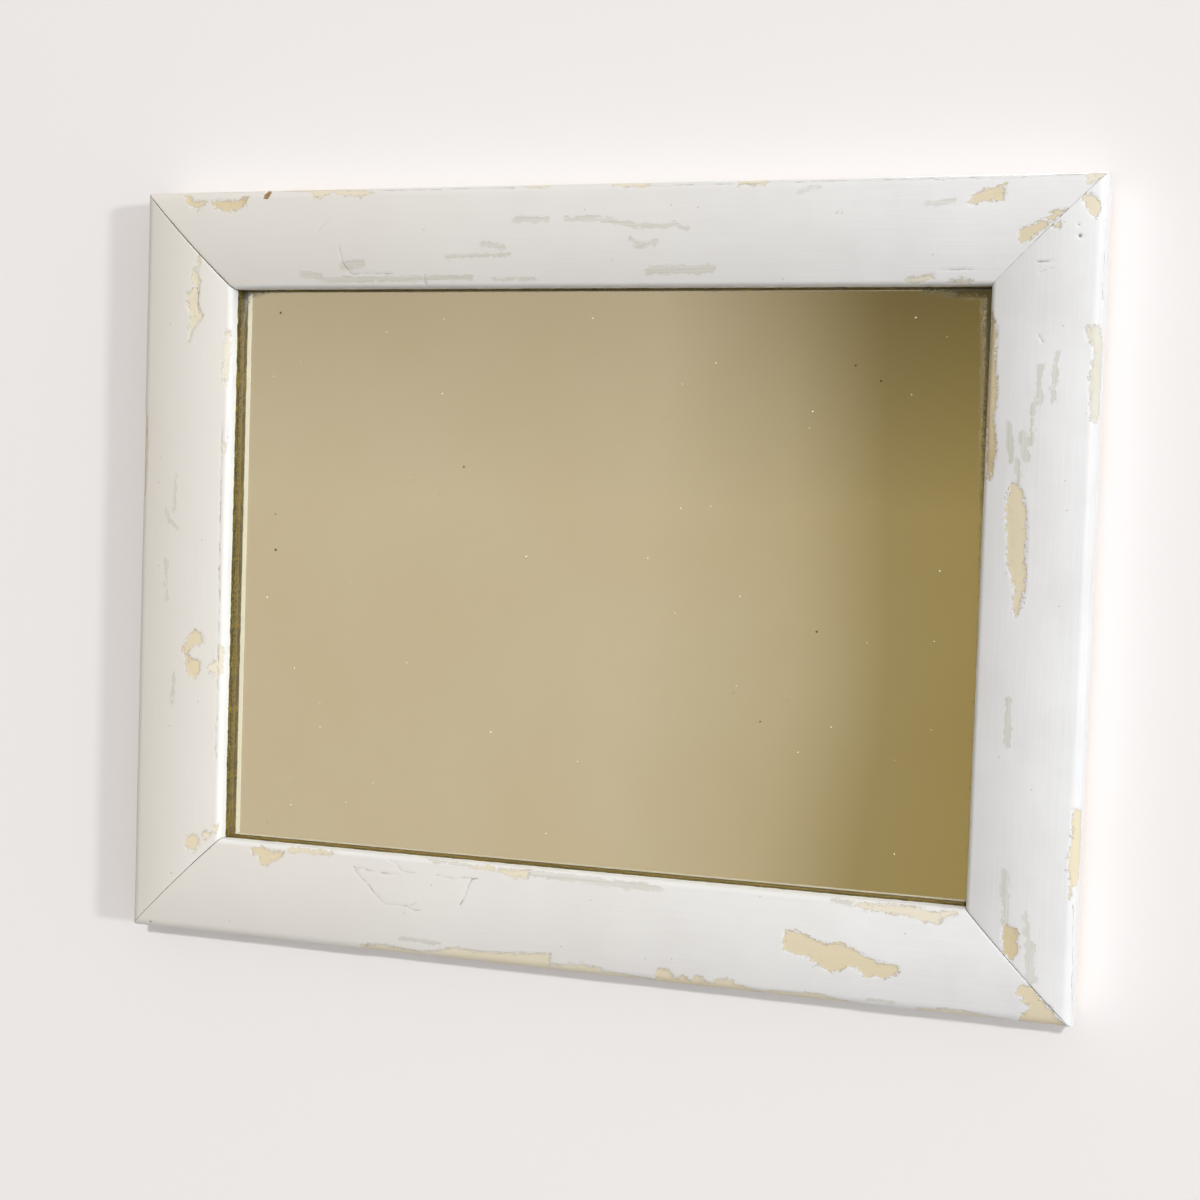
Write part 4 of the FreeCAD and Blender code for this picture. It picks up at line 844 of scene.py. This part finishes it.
# specks of dirt up to 1 mm, in one of eight cells of 14 mm
cells = {"Vector": place, "Scale": 70.0, "Randomness": 1.0}
dirt = put("TexVoronoi", cells, voronoi_dimensions="2D", out="Distance")
dirt = put("MapRange", {"Value": dirt, 1: 0.034, 2: 0.014, 3: 0.0, 4: 0.5})
some = put("SeparateColor", {0: put("TexVoronoi", cells, voronoi_dimensions="2D", out="Color")})
some = put("Math", {0: some, 1: 0.87}, operation="GREATER_THAN")
dirt = put("Math", {0: dirt, 1: some}, operation="MULTIPLY")
coat = put("Mix", {0: dirt, 6: coat, 7: colour("#8A8376")}, **COLOURS)
print("dirt,", len(painted_pine.node_tree.nodes), "nodes so far")

# %% [markdown]
# Where there is no paint, the wood shows. On the back it is dry pine with a long grain, aged brown in places. On the
# foot of the lip, dirt has filled the grain. Just under the paint's edge the foot is painted darker, as painted shade,
# and where the wood lies on the glass it is painted lighter, as painted light that the mirror throws onto it.

# %% Raw wood and the foot of the lip
# grain lines 70 mm long and 1.2 mm wide, along the rail
grained = put("VectorMath", {0: place, 1: (14.0, 800.0, 800.0)}, operation="MULTIPLY")
grain = put("TexNoise", {"Vector": grained, "Scale": 1.0, "Detail": 5.0, "Roughness": 0.6, "Distortion": 0.3})
wood = put("ValToRGB", {0: grain}, stops=((0.3, "#7C5E3C"), (0.5, "#A58356"), (0.7, "#BF9C69")))
aged = put("MapRange", {"Value": clouds, 1: 0.45, 2: 0.75, 3: 0.0, 4: 0.55})
wood = put("Mix", {0: aged, 6: wood, 7: colour("#73583A")}, **COLOURS)
# the lip's foot: bare, dirty and mottled at 1 to 4 mm, with painted shade under the paint's edge and painted light on
# the glass
grime = put("Mix", {0: 0.5, 2: lumps, 3: nibbles}, data_type="FLOAT")
dirty = put("ValToRGB", {0: grime}, stops=(
    (0.40, "#2E2604"), (0.48, "#5A4A04"), (0.55, "#7C6806"), (0.68, "#AE962A")))
# painted shade: darkest just under the paint's edge
shade_under_paint_edge = put("MapRange", {"Value": wear["bare"], 1: -0.7, 2: -0.2, 3: 0.0, 4: 0.4})
dirty = put("Mix", {0: shade_under_paint_edge, 6: dirty, 7: colour("#352C04")}, **COLOURS)
# painted light: the wood lying on the glass is painted lighter, for the light the mirror throws onto it
mirror_light_on_glass = put("MapRange", {"Value": tape_mark, 1: (LIP_FOOT - 0.2) * MM, 2: LIP_FOOT * MM})
dirty = put("Mix", {0: mirror_light_on_glass, 6: dirty, 7: colour("#C4AE70")}, **COLOURS)
on_lip = put("MapRange", {"Value": tape_mark, 1: (PAINT_END - 2) * MM, 2: (PAINT_END - 1) * MM})
wood = put("Mix", {0: on_lip, 6: wood, 7: dirty}, **COLOURS)
stripped = put("Math", {0: lumps, 1: 2.0, 2: wear["bare"]}, operation="MULTIPLY_ADD")
stripped = put("MapRange", {"Value": stripped, 1: 1.1, 2: 0.9})
skin = put("Mix", {0: stripped, 6: coat, 7: wood}, **COLOURS)
print("wood,", len(painted_pine.node_tree.nodes), "nodes so far")

# %% [markdown]
# A colour alone looks printed on. So gloss and relief follow the same masks: white is satin, cream duller and wood
# dry, and the edge of a flake is a step that catches light.

# %% Gloss, relief and the finished paint
# satin white, duller cream and dry wood
gloss = put("MapRange", {"Value": brushed, 1: 0.3, 2: 0.7, 3: 0.40, 4: 0.52})
gloss = put("Mix", {0: flaked, 2: gloss, 3: 0.62}, data_type="FLOAT")
gloss = put("Mix", {0: stripped, 2: gloss, 3: 0.80}, data_type="FLOAT")
# relief in millimetres: the step at a flake, brush lines, cracks and grain
relief = put("Math", {0: brushed, 1: 0.06}, operation="MULTIPLY")
relief = put("Math", {0: flaked, 1: -0.22, 2: relief}, operation="MULTIPLY_ADD")
relief = put("Math", {0: cracked, 1: -0.25, 2: relief}, operation="MULTIPLY_ADD")
relief = put("Math", {0: stripped, 1: -0.15, 2: relief}, operation="MULTIPLY_ADD")
bumps = put("Bump", {"Height": relief, "Distance": MM, "Strength": 0.8})
paint = put("BsdfPrincipled", {"Base Color": skin, "Roughness": gloss, "Normal": bumps, "IOR": 1.48})
put("OutputMaterial", {"Surface": paint})
for rail in rails.values():
    dress(rail, painted_pine)
print(painted_pine.name, len(painted_pine.node_tree.nodes), "nodes in all")

# %% [markdown]
# ## Glass
# The plate is old drawn glass, 3 mm thick, cut to size and rubbed on a stone along its edges so that they don't
# cut. It bends light and mirrors a little at its front, which is why the lip shows twice beside it. The plate is
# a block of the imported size, a hair thinner so that its faces don't lie in its neighbours' faces, with its sharp
# edges taken off.

# %% Glass plate
HAIR = 0.04 * MM
RUBBED_EDGE = 0.4 * MM
corners = np.array([corner[:] for corner in nodes["mirror_glass"].bound_box])
low, high = corners.min(axis=0), corners.max(axis=0)
size = high - low - np.array([0, 2 * HAIR, 0])
plate = start_piece("seamed_glass_plate", bpy.ops.mesh.primitive_cube_add, size=1.0,
                    location=(low + high) / 2, scale=size)
bpy.ops.mesh.bevel(offset=RUBBED_EDGE, segments=2, affect="EDGES")
end_piece()
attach(plate, "frame")
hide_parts("mirror_glass")
print(plate.name, (size / MM).round(2), "mm")

# %% [markdown]
# Drawn glass was pulled up from the melt in a sheet, which leaves faint waves across the pull, some 40 mm apart.
# Light from lamps has to reach what lies behind the glass, so rays that only test for shadow pass straight
# through it.

# %% Clear glass
clear_glass, put = new_material("clear_plate_glass")
spot = put("TexCoord", out="Object")
pulled = put("VectorMath", {0: spot, 1: (5.0, 0.0, 25.0)}, operation="MULTIPLY")
waves = put("TexNoise", {"Vector": pulled, "Scale": 1.0, "Detail": 1.0})
wavy = put("Bump", {"Height": waves, "Distance": 0.05 * MM, "Strength": 1.0})
pane = put("BsdfPrincipled", {"Base Color": colour("#FDFDFB"), "Roughness": 0.0, "IOR": 1.52,
                              "Transmission Weight": 1.0, "Normal": wavy})
shadow = put("LightPath", out="Is Shadow Ray")
pane = put("MixShader", {0: shadow, 1: pane, 2: put("BsdfTransparent")})
put("OutputMaterial", {"Surface": pane})
dress(plate, clear_glass)
print(clear_glass.name)

# %% [markdown]
# ## Aged silvering
# Silver was poured on the back of the glass and sealed with paint. With age it yellows, and damp creeps in from
# the edges and leaves dull olive stains and dark specks. So the metal is warm and nearly clean in the middle,
# and stained towards the edges, most in the top corners and down the right side. Pale dust lies on it too.

# %% Damp in the silver
SIGHT_HALF = {"long": 197.0 * MM, "short": 146.0 * MM}
old_silver, put = new_material("aged_warm_silvering")
spot = put("TexCoord", out="Object")
place = put("SeparateXYZ", {0: spot}).node.outputs
flat = put("CombineXYZ", {"X": place["X"], "Y": place["Z"]})
from_side = put("Math", {0: place["X"]}, operation="ABSOLUTE")
from_side = put("Math", {0: SIGHT_HALF["long"], 1: from_side}, operation="SUBTRACT")
from_top = put("Math", {0: SIGHT_HALF["short"], 1: place["Z"]}, operation="SUBTRACT")
edge = put("Math", {0: from_side, 1: from_top}, operation="MINIMUM")
corner = put("Math", {0: from_side, 1: from_top}, operation="ADD")
# damp from the edges: lumps of 8 mm, deepest in the top corners and high on the right side
blotches = put("TexNoise", {"Vector": flat, "Scale": 130.0, "Detail": 6.0, "Roughness": 0.75})
creep = put("MapRange", {"Value": corner, 1: 0.0, 2: 24.0 * MM, 3: 5.0 * MM, 4: 0.0})
right = put("MapRange", {"Value": place["X"], 1: 150.0 * MM, 2: 190.0 * MM})
upper = put("MapRange", {"Value": place["Z"], 1: 0.0, 2: 140.0 * MM, 3: 1.0 * MM, 4: 6.0 * MM})
right = put("Math", {0: right, 1: upper}, operation="MULTIPLY")
creep = put("Math", {0: creep, 1: right}, operation="MAXIMUM")
creep = put("Math", {0: edge, 1: creep}, operation="SUBTRACT")
creep = put("Math", {0: blotches, 1: 6.0 * MM, 2: creep}, operation="MULTIPLY_ADD")
grit = put("TexNoise", {"Vector": flat, "Scale": 700.0, "Detail": 3.0, "Roughness": 0.6})
creep = put("Math", {0: grit, 1: 7.0 * MM, 2: creep}, operation="MULTIPLY_ADD")
stain = put("MapRange", {"Value": creep, 1: 7.0 * MM, 2: 3.5 * MM, 3: 0.0, 4: 0.65})
print(old_silver.name, "stained from the edges")

# %% [markdown]
# Specks and dust are drawn by Voronoi cells: each cell has a point, its distance gives a small round dot, and its
# random colour decides whether this cell has a dot at all. Dust isn't metal, so it is rough and has no mirror's shine.

# %% Metal, specks and dust
haze = put("ValToRGB", {0: grit}, stops=((0.36, "#1E1806"), (0.55, "#3C3212"), (0.72, "#746838")))
fade = put("TexNoise", {"Vector": flat, "Scale": 9.0, "Detail": 3.0})
metal = put("ValToRGB", {0: fade}, stops=((0.35, "#F6EFD8"), (0.65, "#F9F4E1")))
metal = put("Mix", {0: stain, 6: metal, 7: haze}, **COLOURS)
# dark specks up to 1.3 mm, gathered here and there, in one of eight cells of 13 mm
cells = {"Vector": flat, "Scale": 75.0, "Randomness": 1.0}
speck = put("TexVoronoi", cells, voronoi_dimensions="2D", out="Distance")
gathered = put("TexNoise", {"Vector": flat, "Scale": 14.0, "Detail": 1.0})
size = put("MapRange", {"Value": gathered, 1: 0.50, 2: 0.70, 3: 0.0, 4: 0.050})
speck = put("Math", {0: speck, 1: size}, operation="LESS_THAN")
few = put("SeparateColor", {0: put("TexVoronoi", cells, voronoi_dimensions="2D", out="Color")})
few = put("Math", {0: few, 1: 0.87}, operation="GREATER_THAN")
speck = put("Math", {0: speck, 1: few}, operation="MULTIPLY")
metal = put("Mix", {0: speck, 6: metal, 7: colour("#5A4C30")}, **COLOURS)
# pale dust up to 1 mm, in one of seven cells of 16 mm
cells = {"Vector": flat, "Scale": 62.0, "Randomness": 1.0}
dust = put("TexVoronoi", cells, voronoi_dimensions="2D", out="Distance")
dust = put("MapRange", {"Value": dust, 1: 0.028, 2: 0.010})
few = put("SeparateColor", {0: put("TexVoronoi", cells, voronoi_dimensions="2D", out="Color")})
few = put("MapRange", {"Value": few, 1: 0.85, 2: 1.0, 3: 0.0, 4: 0.75})
dust = put("Math", {0: dust, 1: few}, operation="MULTIPLY")
metal = put("Mix", {0: dust, 6: metal, 7: colour("#FAF3DD")}, **COLOURS)
dull = put("MapRange", {"Value": stain, 3: 0.012, 4: 0.12})
dull = put("Mix", {0: dust, 2: dull, 3: 0.6}, data_type="FLOAT")
left = put("MapRange", {"Value": stain, 3: 1.0, 4: 0.45})
left = put("Mix", {0: dust, 2: left, 3: 0.0}, data_type="FLOAT")
silver = put("BsdfPrincipled", {"Base Color": metal, "Metallic": left, "Roughness": dull})
put("OutputMaterial", {"Surface": silver})
dress(nodes["silver_coat"], old_silver)
print(old_silver.name, len(old_silver.node_tree.nodes), "nodes in all")

# %% [markdown]
# ## The back: board, card and steel
# A thin board closes the back, over a sheet of grey card. The board is old softwood ply with a long grain. Brads
# and corrugated fasteners are plain steel that has dulled and spotted with rust, and the hangers are plated.

# %% Backing board and packing card
old_board, put = new_material("aged_backing_board")
spot = put("TexCoord", out="Object")
# grain lines 110 mm long and 1.7 mm wide, and stains of 110 mm
grained = put("VectorMath", {0: spot, 1: (9.0, 600.0, 600.0)}, operation="MULTIPLY")
grain = put("TexNoise", {"Vector": grained, "Scale": 1.0, "Detail": 6.0, "Roughness": 0.6, "Distortion": 0.6})
stains = put("TexNoise", {"Vector": spot, "Scale": 9.0, "Detail": 4.0})
board = put("ValToRGB", {0: grain}, stops=((0.3, "#5E4429"), (0.5, "#7E5F3C"), (0.7, "#987650")))
patch = put("MapRange", {"Value": stains, 1: 0.5, 2: 0.75, 3: 0.0, 4: 0.5})
board = put("Mix", {0: patch, 6: board, 7: colour("#54402A")}, **COLOURS)
dry = put("MapRange", {"Value": grain, 3: 0.70, 4: 0.88})
rise = put("Bump", {"Height": grain, "Distance": 0.25 * MM, "Strength": 0.7})
timber = put("BsdfPrincipled", {"Base Color": board, "Roughness": dry, "Normal": rise})
put("OutputMaterial", {"Surface": timber})
dress(nodes["backing_board"], old_board)

grey_card, put = new_material("grey_packing_card")
spot = put("TexCoord", out="Object")
# pulp: fibres in tufts of 1 mm, coarser than real ones so that they show
pulp = put("TexNoise", {"Vector": spot, "Scale": 900.0, "Detail": 3.0})
sheet = put("ValToRGB", {0: pulp}, stops=((0.35, "#6E6353"), (0.65, "#8A7E6B")))
fibres = put("Bump", {"Height": pulp, "Distance": 0.05 * MM})
paper = put("BsdfPrincipled", {"Base Color": sheet, "Roughness": 0.92, "Normal": fibres})
put("OutputMaterial", {"Surface": paper})
dress(nodes["packing_card"], grey_card)
print(old_board.name, grey_card.name)

# %% Steel
def steel(name, clean, tarnish, share, rough):
    """Drawn or pressed steel, with tarnish in blotches of 2.4 mm over a share of it."""
    made, put = new_material(name)
    spot = put("TexCoord", out="Object")
    blotch = put("TexNoise", {"Vector": spot, "Scale": 420.0, "Detail": 5.0, "Roughness": 0.65})
    dulled = put("MapRange", {"Value": blotch, 1: 0.70 - share, 2: 0.80 - share})
    tint = put("Mix", {0: dulled, 6: colour(clean), 7: colour(tarnish)}, **COLOURS)
    worn = put("MapRange", {"Value": dulled, 3: rough, 4: 0.65})
    shine = put("MapRange", {"Value": dulled, 3: 1.0, 4: 0.35})
    pits = put("Bump", {"Height": blotch, "Distance": 0.06 * MM, "Strength": 0.6})
    metal = put("BsdfPrincipled", {"Base Color": tint, "Roughness": worn, "Metallic": shine, "Normal": pits})
    put("OutputMaterial", {"Surface": metal})
    return made


dull_steel = steel("dulled_bright_steel", "#A5A19A", "#6A4A32", 0.22, 0.38)
plated_steel = steel("worn_zinc_plating", "#BDB8AA", "#8A8069", 0.18, 0.30)
for name, node in nodes.items():
    if name.endswith(("_brads", "_nails", "_fasteners")):
        dress(node, dull_steel)
    if "hanger" in name or name.endswith("_d_ring"):
        dress(node, plated_steel)
print("steel on", sum(n.endswith(("_brads", "_nails", "_fasteners")) for n in nodes), "groups of fixings")
